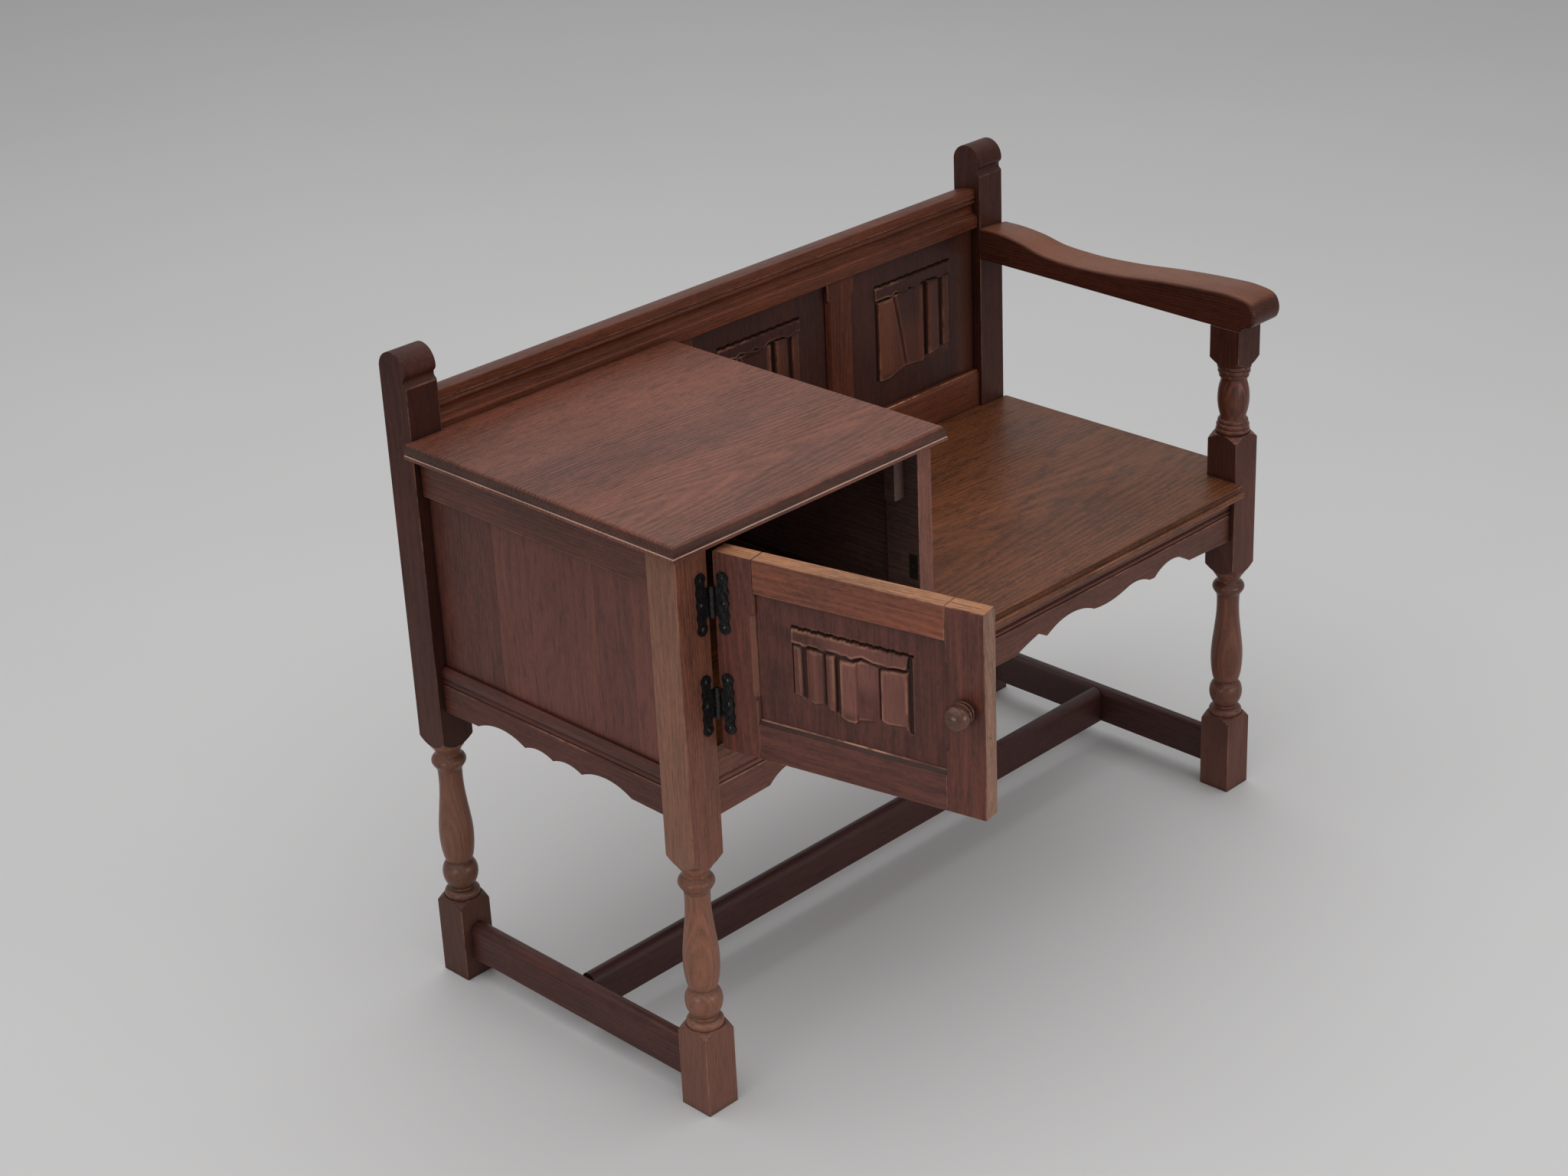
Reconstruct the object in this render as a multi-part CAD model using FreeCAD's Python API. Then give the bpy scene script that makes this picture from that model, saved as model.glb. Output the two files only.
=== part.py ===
import FreeCAD
import Part
import os
from math import sqrt

# Telephone bench of stained oak, in millimetres.
# It is drawn about the middle of its four legs: X to the right, Y to the back, Z up from the floor.
# At the end everything is moved so that the origin is the middle of the bottom of its box.

# Driving dimensions of the frame
WIDTH = 924.0             # over the legs
DEPTH = 429.0             # over the legs
SECTION = 41.0            # square section of legs and posts
POST_HEIGHT = 744.8
FOOT_HEIGHT = 90.0        # straight part of the foot block
BLOCK_BOTTOM = 299.0      # where the square of a leg starts again above the turning
SEAT_Z = 413.0
SEAT_THICK = 16.0
TOP_Z = 652.3
TOP_THICK = 16.3
HEAD = 52.3               # how far the posts' rounded heads stand above the crest rail
CREST = 48.5              # height of the crest rail
BACK_RAIL_TOP = 459.5
APRON_BOTTOM = 338.0
RECESS = 7.0              # how far aprons lie behind the faces of the legs
RAIL = 20.0               # thickness of rails and stretchers
TENON = 16.0
TENON_SHOULDER = 6.0      # how much narrower a tenon is than its rail, at each edge
GROOVE = 6.0              # how deep a panel sits in its frame
PANEL = 8.0

# Places that follow from them
HALF_W = WIDTH / 2
HALF_D = DEPTH / 2
IN_X = HALF_W - SECTION   # inner faces of the legs
IN_Y = HALF_D - SECTION
CREST_TOP = POST_HEIGHT - HEAD
CREST_BOTTOM = CREST_TOP - CREST
SEAT_BOTTOM = SEAT_Z - SEAT_THICK
TOP_BOTTOM = TOP_Z - TOP_THICK
FRONT_FACE = -HALF_D + RECESS
SIDE_RECESS = RECESS + 1
SIDE_FACE = -HALF_W + SIDE_RECESS

# The back's faces, one behind another
CREST_FACE = IN_Y + 4.5
BACK_FACE = IN_Y + 8.5
BACK_PANEL_Y = IN_Y + 14.5
SEAT_BACK = IN_Y + 31.5

# Cupboard, door and hinge
PARTITION_X = -121.3      # left face of the partition
PARTITION = 20.5
PARTITION_FRONT = -HALF_D + 1.5
PARTITION_BACK = CREST_FACE
PARTITION_RIGHT = PARTITION_X + PARTITION
STILE = 45.5
FRAME_RAIL = 42.0         # height of the partition's rails
DOOR_THICK = 21.0
DOOR_BOTTOM = SEAT_Z + 2.5
DOOR_TOP = TOP_BOTTOM - 7.5
HINGE_GAP = 2.0           # between leg and door
LOCK_GAP = 3.0            # between door and partition
HINGE_STILE = 44.0
LOCK_STILE = 41.5
DOOR_TOP_RAIL = 35.5
DOOR_BOTTOM_RAIL = 42.5
DOOR_OPEN = 78.5          # degrees that the door stands open
PIN_R = 1.5
PIN_CLEARANCE = 0.05      # running fit of the moving knuckle on its pin
KNUCKLE_R = 2.9
KNUCKLE_GAP = 0.3
PIN_X = -IN_X + HINGE_GAP / 2
PIN_Y = -HALF_D - KNUCKLE_R - 0.3
HINGE_HEIGHTS = (DOOR_BOTTOM + 52.0, DOOR_TOP - 52.5)
DOOR_LEFT = -IN_X + HINGE_GAP
DOOR_RIGHT = PARTITION_X - LOCK_GAP
DOOR_FRONT = -HALF_D
DOOR_BACK = DOOR_FRONT + DOOR_THICK

Vec = FreeCAD.Vector
UP = Vec(0, 0, 1)


def box(x0, x1, y0, y1, z0, z1):
    return Part.makeBox(x1 - x0, y1 - y0, z1 - z0, Vec(x0, y0, z0))


def outline(steps, place):
    """A closed face: a step (a, b) is a corner, and (a, b, c, d) an arc through (a, b) to (c, d)."""
    edges = []
    first = place(*steps[0])
    here = first
    for step in steps[1:]:
        end = place(*step[-2:])
        if len(step) == 4:
            edges.append(Part.Arc(here, place(*step[:2]), end).toShape())
        else:
            edges.append(Part.makeLine(here, end))
        here = end
    if here.distanceToPoint(first) > 1e-6:
        edges.append(Part.makeLine(here, first))
    return Part.Face(Part.Wire(edges))


def along_x(steps, x0, x1):
    """Steps are (y, z)."""
    return outline(steps, lambda y, z: Vec(x0, y, z)).extrude(Vec(x1 - x0, 0, 0))


def along_y(steps, y0, y1):
    """Steps are (x, z)."""
    return outline(steps, lambda x, z: Vec(x, y0, z)).extrude(Vec(0, y1 - y0, 0))


def along_z(steps, z0, z1):
    """Steps are (x, y)."""
    return outline(steps, lambda x, y: Vec(x, y, z0)).extrude(Vec(0, 0, z1 - z0))


def turned(steps, x=0.0, y=0.0):
    """Steps are (radius, z), about the upright axis through x, y."""
    face = outline(steps, lambda r, z: Vec(x + r, y, z))
    return face.revolve(Vec(x, y, 0), UP, 360)


def cylinder(radius, length, start, direction):
    return Part.makeCylinder(radius, length, start, direction)


def mirrored_steps(steps):
    """The same outline on the other side of zero, walked the other way."""
    points = [step[-2:] for step in steps]
    flipped = [(-points[-1][0], points[-1][1])]
    for index in range(len(steps) - 1, 0, -1):
        end = points[index - 1]
        if len(steps[index]) == 4:
            flipped.append((-steps[index][0], steps[index][1], -end[0], end[1]))
        else:
            flipped.append((-end[0], end[1]))
    return flipped


def union(shapes):
    whole = shapes[0]
    for shape in shapes[1:]:
        whole = whole.fuse(shape)
    return whole.removeSplitter()


def minus(shape, cutters):
    for cutter in cutters:
        shape = shape.cut(cutter)
    return shape


# Legs and posts
CORNER_R = SECTION / sqrt(2) + 0.01
ROUND_R = SECTION / 2
SHOULDER = CORNER_R - ROUND_R
BEYOND = SECTION          # a radius that leaves the square as it is


def lower_turning():
    """From the foot block up to the block that carries the rails: ring, ball, vase and collar."""
    low = FOOT_HEIGHT + SHOULDER
    high = BLOCK_BOTTOM - SHOULDER
    vase_low = low + 44.5
    vase_high = high - 71.5
    return [
        (0, -1), (BEYOND, -1), (BEYOND, FOOT_HEIGHT), (CORNER_R, FOOT_HEIGHT), (ROUND_R, low),
        (17.2, low), (19.2, low + 4.2, 17.0, low + 8.5), (15.8, low + 8.5), (15.8, low + 11.0),
        (19.5, low + 28.0, 15.0, vase_low), (18.9, (vase_low + vase_high) / 2, 15.0, vase_high),
        (13.4, high - 59.0, 13.1, high - 47.5), (13.6, high - 33.0), (18.1, high - 24.0, 13.6, high - 15.0),
        (13.2, high - 15.0), (13.2, high - 11.5), (14.4, high - 6.2, 18.0, high - 3.5),
        (ROUND_R, high - 3.5), (ROUND_R, high), (CORNER_R, BLOCK_BOTTOM), (BEYOND, BLOCK_BOTTOM),
    ]


ARM_UNDERSIDE = 599.5
ARM_BLOCK_BOTTOM = ARM_UNDERSIDE - 38.5   # corner of the square block under the arm
ARM_BLOCK_TOP = SEAT_Z + 46.0             # corner of the square block above the seat


def arm_turning():
    """Rings, vase and rings again, between the seat's block and the arm's block."""
    low = ARM_BLOCK_TOP + SHOULDER
    high = ARM_BLOCK_BOTTOM - SHOULDER
    return [
        (BEYOND, ARM_BLOCK_TOP), (CORNER_R, ARM_BLOCK_TOP), (ROUND_R, low),
        (18.6, low), (19.9, low + 3.0, 18.2, low + 6.2), (19.2, low + 9.3, 17.2, low + 12.2),
        (17.7, low + 15.0, 15.4, low + 17.5), (15.2, low + 21.0),
        (18.6, (low + high) / 2, 15.2, high - 21.0), (15.4, high - 17.5),
        (17.4, high - 15.0, 16.9, high - 12.2), (18.9, high - 9.3, 17.9, high - 6.2),
        (19.9, high - 3.0, 18.9, high),
        (ROUND_R, high), (CORNER_R, ARM_BLOCK_BOTTOM), (BEYOND, ARM_BLOCK_BOTTOM),
    ]


FINIAL_BASE = CREST_TOP - 2.5


def finial():
    """The rounded head of a rear post, seen from the side: a notch in front and a half round on top."""
    front = IN_Y
    back = HALF_D
    spring = POST_HEIGHT - SECTION / 2
    notch = spring - 6.0
    steps = [
        (front, FINIAL_BASE), (front, notch - 9.6), (front + 2.6, notch - 7.6),
        (front + 4.5, notch - 3.8, front + 3.2, notch), (front + 0.9, notch + 2.6, front, spring),
        (front + SECTION / 2, POST_HEIGHT, back, spring), (back, FINIAL_BASE),
    ]
    return along_x(steps, -HALF_W, HALF_W)


def leg(side_x, side_y, height, turnings, head=None):
    """One leg: its square, cut down to the turned outline where it is round."""
    x = side_x * (HALF_W - SECTION / 2)
    y = side_y * (HALF_D - SECTION / 2)
    half = SECTION / 2
    square = box(x - half, x + half, y - half, y + half, 0, height)
    if head is not None:
        shaft = box(x - half, x + half, y - half, y + half, 0, FINIAL_BASE)
        slice_of_head = head.common(box(x - half, x + half, y - half, y + half, FINIAL_BASE, height + 1))
        square = shaft.fuse(slice_of_head)
    steps = list(turnings) + [(BEYOND, height + 1), (0, height + 1)]
    return square.common(turned(steps, x, y)).removeSplitter()


# Rails with their tenons
def rail_in_x(body, x0, x1, y0, y1, z0, z1, length=TENON):
    """Adds a tenon a third as thick as the rail at each end of a rail that runs along X."""
    third = (y1 - y0) / 3
    low = z0 + TENON_SHOULDER
    high = z1 - TENON_SHOULDER
    tenons = [box(x0 - length, x0, y0 + third, y1 - third, low, high),
              box(x1, x1 + length, y0 + third, y1 - third, low, high)]
    return union([body] + tenons)


def rail_in_y(body, y0, y1, x0, x1, z0, z1, length=TENON):
    """The same for a rail that runs along Y."""
    third = (x1 - x0) / 3
    low = z0 + TENON_SHOULDER
    high = z1 - TENON_SHOULDER
    tenons = [box(x0 + third, x1 - third, y0 - length, y0, low, high),
              box(x0 + third, x1 - third, y1, y1 + length, low, high)]
    return union([body] + tenons)


# Stretchers
STRETCHER_LOW = 25.0
STRETCHER_TOP = 69.0
STRETCHER_SQUARE = STRETCHER_TOP - 6.0   # below the round, where the tenons' shoulders count from
STRETCHER_TENON = 8.0     # of the centre stretcher, let into the side ones


def stretcher_steps(middle):
    """An upright board with a fully rounded upper edge."""
    half = RAIL / 2
    spring = STRETCHER_TOP - half
    return [(middle - half, STRETCHER_LOW), (middle + half, STRETCHER_LOW), (middle + half, spring),
            (middle, STRETCHER_TOP, middle - half, spring)]


def side_stretcher(side):
    x = side * (HALF_W - SECTION / 2)
    body = along_y(stretcher_steps(x), -IN_Y, IN_Y)
    return rail_in_y(body, -IN_Y, IN_Y, x - RAIL / 2, x + RAIL / 2, STRETCHER_LOW, STRETCHER_SQUARE)


def centre_stretcher():
    reach = HALF_W - SECTION / 2 - RAIL / 2
    body = along_x(stretcher_steps(0), -reach, reach)
    half = RAIL / 2
    return rail_in_x(body, -reach, reach, -half, half, STRETCHER_LOW, STRETCHER_SQUARE, STRETCHER_TENON)


# Aprons: a bead between two cut lines, and a scalloped lower edge
BEAD_Z = APRON_BOTTOM + 35.6
APRON_HIDDEN = APRON_BOTTOM + 14.0   # lower edge of the tenons
SIDE_APRON_TOP = SEAT_Z - 23.0
SEAT_RAIL_Y = IN_Y + 14.0            # front face of the rear seat rail


def beaded_face(face, inward, top):
    """Section of an apron whose face is at one value and whose depth goes inward (+1 or -1)."""
    cut = face + 2.4 * inward
    proud = face + 0.4 * inward
    low = APRON_BOTTOM - 2
    return [
        (face, low), (face, BEAD_Z - 4.0), (cut, BEAD_Z - 2.6), (proud, BEAD_Z - 1.4),
        (face, BEAD_Z, proud, BEAD_Z + 1.4), (cut, BEAD_Z + 2.8), (face, BEAD_Z + 5.9), (face, top),
        (face + RAIL * inward, top), (face + RAIL * inward, low),
    ]


def scallop(span, stations):
    """Half of a scalloped edge: shares of the half span and heights above the apron's foot."""
    steps = []
    for station in stations:
        shares = station[0::2]
        rises = station[1::2]
        step = ()
        for share, rise in zip(shares, rises):
            step += (span * share, APRON_BOTTOM + rise)
        steps.append(step)
    return steps


# A flat lobe in the middle, then cusps and waves out to the leg
FRONT_WAVES = (
    (0.0, -2.0), (0.088, -2.0), (0.136, 5.0, 0.178, 10.0), (0.210, 2.5), (0.225, 5.6),
    (0.297, 14.4, 0.409, 4.0), (0.470, 2.6, 0.532, 6.8), (0.589, 10.8, 0.645, 3.2), (0.665, 2.4),
    (0.741, 14.8, 0.822, 1.0), (1.0, -1.6),
)
# Two small arches and a larger one on each side
SIDE_WAVES = ((0.0, 1.0), (0.138, 6.0, 0.254, 1.0), (0.484, 10.0, 0.692, 0.0), (1.0, -1.0))


def scalloped(half, top):
    return mirrored_steps(half) + half[1:] + [(half[-1][0], top), (-half[-1][0], top)]


def front_apron():
    body = along_x(beaded_face(FRONT_FACE, 1, SEAT_BOTTOM), -IN_X, IN_X)
    body = body.common(along_y(scalloped(scallop(IN_X, FRONT_WAVES), SEAT_BOTTOM), -HALF_D, 0))
    return rail_in_x(body, -IN_X, IN_X, FRONT_FACE, FRONT_FACE + RAIL, APRON_HIDDEN, SEAT_BOTTOM)


def side_apron(side, top, bevel=0.0):
    """The left one is also the lower rail of the cupboard's side, with a bevelled upper edge."""
    face = -side * SIDE_FACE
    section = beaded_face(face, -side, top)
    if bevel:
        at = section.index((face, top))
        section[at:at + 1] = [(face, top - bevel), (face - side * bevel, top)]
    body = along_y(section, -IN_Y, IN_Y)
    body = body.common(along_x(scalloped(scallop(IN_Y, SIDE_WAVES), top), -HALF_W, HALF_W))
    x0, x1 = sorted((face, face - side * RAIL))
    return rail_in_y(body, -IN_Y, IN_Y, x0, x1, APRON_HIDDEN, top)


def rear_seat_rail():
    y0 = SEAT_RAIL_Y
    body = box(-IN_X, IN_X, y0, y0 + RAIL, APRON_BOTTOM + 7, SEAT_BOTTOM)
    return rail_in_x(body, -IN_X, IN_X, y0, y0 + RAIL, APRON_HIDDEN, SEAT_BOTTOM)


# Seat board and cupboard top, both with a moulded edge
NOSING = 13.0             # how far the seat stands in front of the legs
SEAT_OVERHANG = 4.0       # past the legs on the right
SIDE_PANEL_FACE = SIDE_FACE + 8
FLOOR_GAP = 2.0           # between the board and the side panel


def moulded_edge(edge, inward, top, bottom, setback, band):
    """From the upper arris, a quarter round down to a projecting band; edge is the band's outer face."""
    quirk = 1.2
    mid_in = quirk + 0.3 * (setback - quirk)
    mid_z = top - 0.3 * (top - band)
    return [
        (edge + setback * inward, top),
        (edge + mid_in * inward, mid_z, edge + quirk * inward, band + 0.6), (edge, band),
        (edge, bottom + quirk), (edge + quirk * inward, bottom),
    ]


def reversed_steps(steps):
    """The same open outline walked from its end to its start."""
    points = [step[-2:] for step in steps]
    back = [points[-1]]
    for index in range(len(steps) - 1, 0, -1):
        if len(steps[index]) == 4:
            back.append(steps[index][:2] + points[index - 1])
        else:
            back.append(points[index - 1])
    return back


def nosing_steps(front):
    """The seat's front edge from above: a thin bead, a hollow under it and a lip that stands furthest out."""
    return [
        (front + 3.6, SEAT_Z), (front + 2.4, SEAT_Z - 1.0), (front + 2.9, SEAT_Z - 2.4),
        (front + 5.6, SEAT_Z - 5.4, front + 2.4, SEAT_Z - 8.4), (front, SEAT_Z - 9.2),
        (front, SEAT_BOTTOM + 1.4), (front + 1.4, SEAT_BOTTOM),
    ]


def seat_board():
    front = -HALF_D - NOSING
    nose = nosing_steps(front)
    left = SIDE_PANEL_FACE + PANEL + FLOOR_GAP
    right = HALF_W + SEAT_OVERHANG
    board = along_x(nose + [(SEAT_BACK, SEAT_BOTTOM), (SEAT_BACK, SEAT_Z)], left, right)
    notches = [box(-IN_X, PARTITION_X, front, FRONT_FACE, SEAT_BOTTOM, SEAT_Z)]
    for x0, x1 in ((left, -IN_X), (IN_X, right)):
        for y0, y1 in ((front, -IN_Y), (IN_Y, HALF_D)):
            notches.append(box(x0, x1, y0, y1, SEAT_BOTTOM, SEAT_Z))
    return minus(board, notches).removeSplitter()


TOP_OVERHANG = 11.0
TOP_RIGHT = PARTITION_RIGHT + 12.3


def cabinet_top():
    front = -HALF_D - TOP_OVERHANG
    left = -HALF_W - TOP_OVERHANG
    band = TOP_BOTTOM + 4.2
    lengthwise = moulded_edge(front, 1, TOP_Z, TOP_BOTTOM, 4.5, band)
    lengthwise += [(CREST_FACE, TOP_BOTTOM), (CREST_FACE, TOP_Z)]
    across = moulded_edge(left, 1, TOP_Z, TOP_BOTTOM, 4.5, band)
    across += reversed_steps(moulded_edge(TOP_RIGHT, -1, TOP_Z, TOP_BOTTOM, 4.5, band))
    slab = along_x(lengthwise, left, TOP_RIGHT).common(along_y(across, front, CREST_FACE))
    return slab.cut(box(left, -IN_X, IN_Y, HALF_D, TOP_BOTTOM, TOP_Z)).removeSplitter()


# Back frame
MUNTIN = 44.0
BACK_SPACE = (IN_X - PARTITION_RIGHT - 2 * MUNTIN) / 2
MUNTIN_LEFTS = (PARTITION_RIGHT, PARTITION_RIGHT + MUNTIN + BACK_SPACE)
BEVEL = 4.5
BEVEL_STOP = 20.0         # from the end of an upright to where its bevel starts


def crest_rail():
    """From below: a flat lip, a hollow, a bead and a flat band under the crowned top."""
    face = CREST_FACE
    low = CREST_BOTTOM
    high = CREST_TOP
    back = HALF_D - 1
    steps = [
        (back, low), (face + 1.2, low), (face, low + 1.2),
        (face, low + 13.6), (face + 0.5, low + 15.6, face + 2.4, low + 16.8), (face + 7.0, low + 18.6),
        (face + 8.4, low + 24.2, face + 6.4, low + 29.6), (face + 4.6, low + 30.4),
        (face + 3.4, low + 32.4, face + 4.6, low + 34.4), (face + 5.4, low + 36.0),
        (face + 3.2, low + 37.4), (face + 3.0, high - 1.0), (face + 4.0, high),
        (face + 21, high - 1.6, back - 1.2, high - 5.9), (back, high - 7.3),
    ]
    body = along_x(steps, -IN_X, IN_X)
    return rail_in_x(body, -IN_X, IN_X, face + 6, back - 4, low, high - 14)


def back_bottom_rail():
    steps = [(CREST_FACE, SEAT_Z), (CREST_FACE, BACK_RAIL_TOP - BEVEL), (BACK_FACE, BACK_RAIL_TOP),
             (SEAT_BACK, BACK_RAIL_TOP), (SEAT_BACK, SEAT_Z)]
    body = along_x(steps, -IN_X, IN_X)
    return rail_in_x(body, -IN_X, IN_X, CREST_FACE, SEAT_BACK, SEAT_Z, BACK_RAIL_TOP)


def stopped_bevel(x, y, side, z0, z1):
    """A wedge with pointed ends that takes the front arris off an upright, between two heights."""
    def section(z):
        corner = Vec(x, y, z)
        return Part.makePolygon([corner, Vec(x + side * BEVEL, y, z), Vec(x, y + BEVEL, z), corner])
    low = z0 + BEVEL
    high = z1 - BEVEL
    middle = Part.Face(section(low)).extrude(Vec(0, 0, high - low))
    ends = [Part.makeLoft([section(at), Part.Vertex(x, y, tip)], True) for at, tip in ((low, z0), (high, z1))]
    return union([middle] + ends)


def back_muntin(left):
    body = box(left, left + MUNTIN, BACK_FACE, BACK_FACE + RAIL, BACK_RAIL_TOP, CREST_BOTTOM)
    inset = GROOVE + 4
    tongue = box(left + inset, left + MUNTIN - inset, BACK_PANEL_Y, BACK_PANEL_Y + PANEL,
                 BACK_RAIL_TOP - GROOVE, CREST_BOTTOM + GROOVE)
    low = BACK_RAIL_TOP + BEVEL_STOP
    high = CREST_BOTTOM - BEVEL_STOP
    bevels = [stopped_bevel(left, BACK_FACE, 1, low, high),
              stopped_bevel(left + MUNTIN, BACK_FACE, -1, low, high)]
    return minus(union([body, tongue]), bevels)


# Linenfold: folds of cloth standing upright under a flat hem, carved on the middle of a panel
FOLD_WIDTH = 132.0
FOLDS = (                 # left and right edge as shares of the width, lift of the lower end, height
    (0.0, 0.115, 12.0, 1.8),
    (0.115, 0.305, 9.5, 3.0),
    (0.305, 0.405, 8.0, 2.0),
    (0.405, 0.55, 0.0, 3.6),
    (0.55, 0.75, 9.0, 3.0),
    (0.75, 1.0, 5.0, 2.4),
)
HEM = 16.0                # height of the flat band above the folds
HEM_PROUD = 2.0


def linenfold(left, foot, top, face):
    """The raised carving, standing forward (towards -Y) from the panel's face."""
    edge = face - 0.4
    inside = face + 0.5
    pieces = [box(left, left + FOLD_WIDTH, face - HEM_PROUD, inside, top - HEM, top)]
    for start, end, lift, height in FOLDS:
        a = left + start * FOLD_WIDTH
        b = left + end * FOLD_WIDTH
        steps = [(a, inside), (a, edge), ((a + b) / 2, face - height, b, edge), (b, inside)]
        pieces.append(along_z(steps, foot + lift, top - HEM))
    return union(pieces)


def upright_panel(x0, x1, z0, z1, face, thick, field=None):
    """A panel let into its frame all round, facing -Y; a field is the carving's margin below and above."""
    panel = box(x0 - GROOVE, x1 + GROOVE, face, face + thick, z0 - GROOVE, z1 + GROOVE)
    if field is not None:
        below, above = field
        left = (x0 + x1 - FOLD_WIDTH) / 2
        panel = union([panel, linenfold(left, z0 + below, z1 - above, face)])
    return panel


# Cupboard
SIDE_RAIL_LOW = TOP_BOTTOM - 47.0


def cabinet_left_top_rail():
    body = box(SIDE_FACE, SIDE_FACE + RAIL, -IN_Y, IN_Y, SIDE_RAIL_LOW, TOP_BOTTOM)
    return rail_in_y(body, -IN_Y, IN_Y, SIDE_FACE, SIDE_FACE + RAIL, SIDE_RAIL_LOW, TOP_BOTTOM)


def cabinet_left_panel():
    return box(SIDE_PANEL_FACE, SIDE_PANEL_FACE + PANEL, -IN_Y - GROOVE, IN_Y + GROOVE,
               SIDE_APRON_TOP - GROOVE, SIDE_RAIL_LOW + GROOVE)


def partition_pieces():
    """Two stiles, two rails and a panel, standing on the seat board."""
    x0 = PARTITION_X
    x1 = PARTITION_RIGHT
    y0 = PARTITION_FRONT + STILE
    y1 = PARTITION_BACK - STILE
    low = SEAT_Z + FRAME_RAIL
    high = TOP_BOTTOM - FRAME_RAIL
    front = box(x0, x1, PARTITION_FRONT, y0, SEAT_Z, TOP_BOTTOM)
    rear = box(x0, x1, y1, PARTITION_BACK, SEAT_Z, TOP_BOTTOM)
    top = rail_in_y(box(x0, x1, y0, y1, high, TOP_BOTTOM), y0, y1, x0, x1, high, TOP_BOTTOM)
    bottom = rail_in_y(box(x0, x1, y0, y1, SEAT_Z, low), y0, y1, x0, x1, SEAT_Z, low)
    middle = (x0 + x1) / 2
    panel = box(middle - PANEL / 2, middle + PANEL / 2, y0 - GROOVE, y1 + GROOVE, low - GROOVE, high + GROOVE)
    return {
        "partition_front_stile": minus(front, [top, bottom, panel]),
        "partition_rear_stile": minus(rear, [top, bottom, panel]),
        "partition_top_rail": top.cut(panel),
        "partition_bottom_rail": bottom.cut(panel),
        "partition_panel": panel,
    }


# Arm rest
ARM_WIDTH = 51.5
ARM_NOSE = 19.5           # how far it stands in front of the leg
ARM_HEIGHT = 45.5         # of its rear end, above the underside
ARM_ROUND = 2.6
ARM_CURVE = (             # share of the way from the post to the nose, share of the height
    (0.0, 1.0), (0.07, 0.993), (0.15, 0.897), (0.234, 0.71), (0.352, 0.633), (0.513, 0.692),
    (0.684, 0.842), (0.83, 0.923), (0.925, 0.93), (0.984, 0.802), (1.0, 0.484), (0.991, 0.198),
    (0.963, 0.088),
)


def arm_rest():
    """Seen from the side: level at the back, dipped in the middle, rising to a rounded nose."""
    length = IN_Y + HALF_D + ARM_NOSE
    curve = [Vec(IN_X, IN_Y - share * length, ARM_UNDERSIDE + rise * ARM_HEIGHT) for share, rise in ARM_CURVE]
    upper = Part.BSplineCurve()
    upper.interpolate(curve)
    corners = [curve[-1], Vec(IN_X, -HALF_D - 0.5, ARM_UNDERSIDE), Vec(IN_X, -IN_Y + 9, ARM_UNDERSIDE),
               Vec(IN_X, IN_Y, ARM_UNDERSIDE + 5.5), curve[0]]
    edges = [upper.toShape()] + [Part.makeLine(a, b) for a, b in zip(corners, corners[1:])]
    arm = Part.Face(Part.Wire(edges)).extrude(Vec(ARM_WIDTH, 0, 0))
    curved = [edge for edge in arm.Edges if isinstance(edge.Curve, Part.BSplineCurve)]
    return arm.makeFillet(ARM_ROUND, curved)


# Door, drawn shut and then swung open about its pins
def swung(shape):
    turned_shape = shape.copy()
    turned_shape.rotate(Vec(PIN_X, PIN_Y, 0), UP, -DOOR_OPEN)
    return turned_shape


DOOR_TENON = 12.0
DOOR_PANEL = 9.0
DOOR_PANEL_FACE = DOOR_FRONT + 5.0
DOOR_INNER_LEFT = DOOR_LEFT + HINGE_STILE
DOOR_INNER_RIGHT = DOOR_RIGHT - LOCK_STILE
DOOR_INNER_LOW = DOOR_BOTTOM + DOOR_BOTTOM_RAIL
DOOR_INNER_HIGH = DOOR_TOP - DOOR_TOP_RAIL
DOOR_FIELD = (24.0, 26.0)
BACK_FIELD = (34.5, 31.0)


def door_pieces():
    x0 = DOOR_INNER_LEFT
    x1 = DOOR_INNER_RIGHT
    low = DOOR_INNER_LOW
    high = DOOR_INNER_HIGH
    hinge = box(DOOR_LEFT, x0, DOOR_FRONT, DOOR_BACK, DOOR_BOTTOM, DOOR_TOP)
    lock = box(x1, DOOR_RIGHT, DOOR_FRONT, DOOR_BACK, DOOR_BOTTOM, DOOR_TOP)
    top = rail_in_x(box(x0, x1, DOOR_FRONT, DOOR_BACK, high, DOOR_TOP),
                    x0, x1, DOOR_FRONT, DOOR_BACK, high, DOOR_TOP, DOOR_TENON)
    sill = [(DOOR_FRONT, DOOR_BOTTOM), (DOOR_FRONT, low - BEVEL), (DOOR_FRONT + BEVEL, low),
            (DOOR_BACK, low), (DOOR_BACK, DOOR_BOTTOM)]
    bottom = rail_in_x(along_x(sill, x0, x1), x0, x1, DOOR_FRONT, DOOR_BACK, DOOR_BOTTOM, low, DOOR_TENON)
    panel = upright_panel(x0, x1, low, high, DOOR_PANEL_FACE, DOOR_PANEL, DOOR_FIELD)
    bevels = [stopped_bevel(x0, DOOR_FRONT, -1, low + BEVEL_STOP, high - BEVEL_STOP),
              stopped_bevel(x1, DOOR_FRONT, 1, low + BEVEL_STOP, high - BEVEL_STOP)]
    return {
        "door_hinge_stile": minus(hinge, [top, bottom, panel] + bevels),
        "door_lock_stile": minus(lock, [top, bottom, panel] + bevels),
        "door_top_rail": top.cut(panel),
        "door_bottom_rail": bottom.cut(panel),
        "door_panel": panel,
    }


KNOB_UP = 111.0           # from the foot of the door
KNOB_X = (DOOR_INNER_RIGHT + DOOR_RIGHT) / 2
KNOB_Z = DOOR_BOTTOM + KNOB_UP


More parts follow.
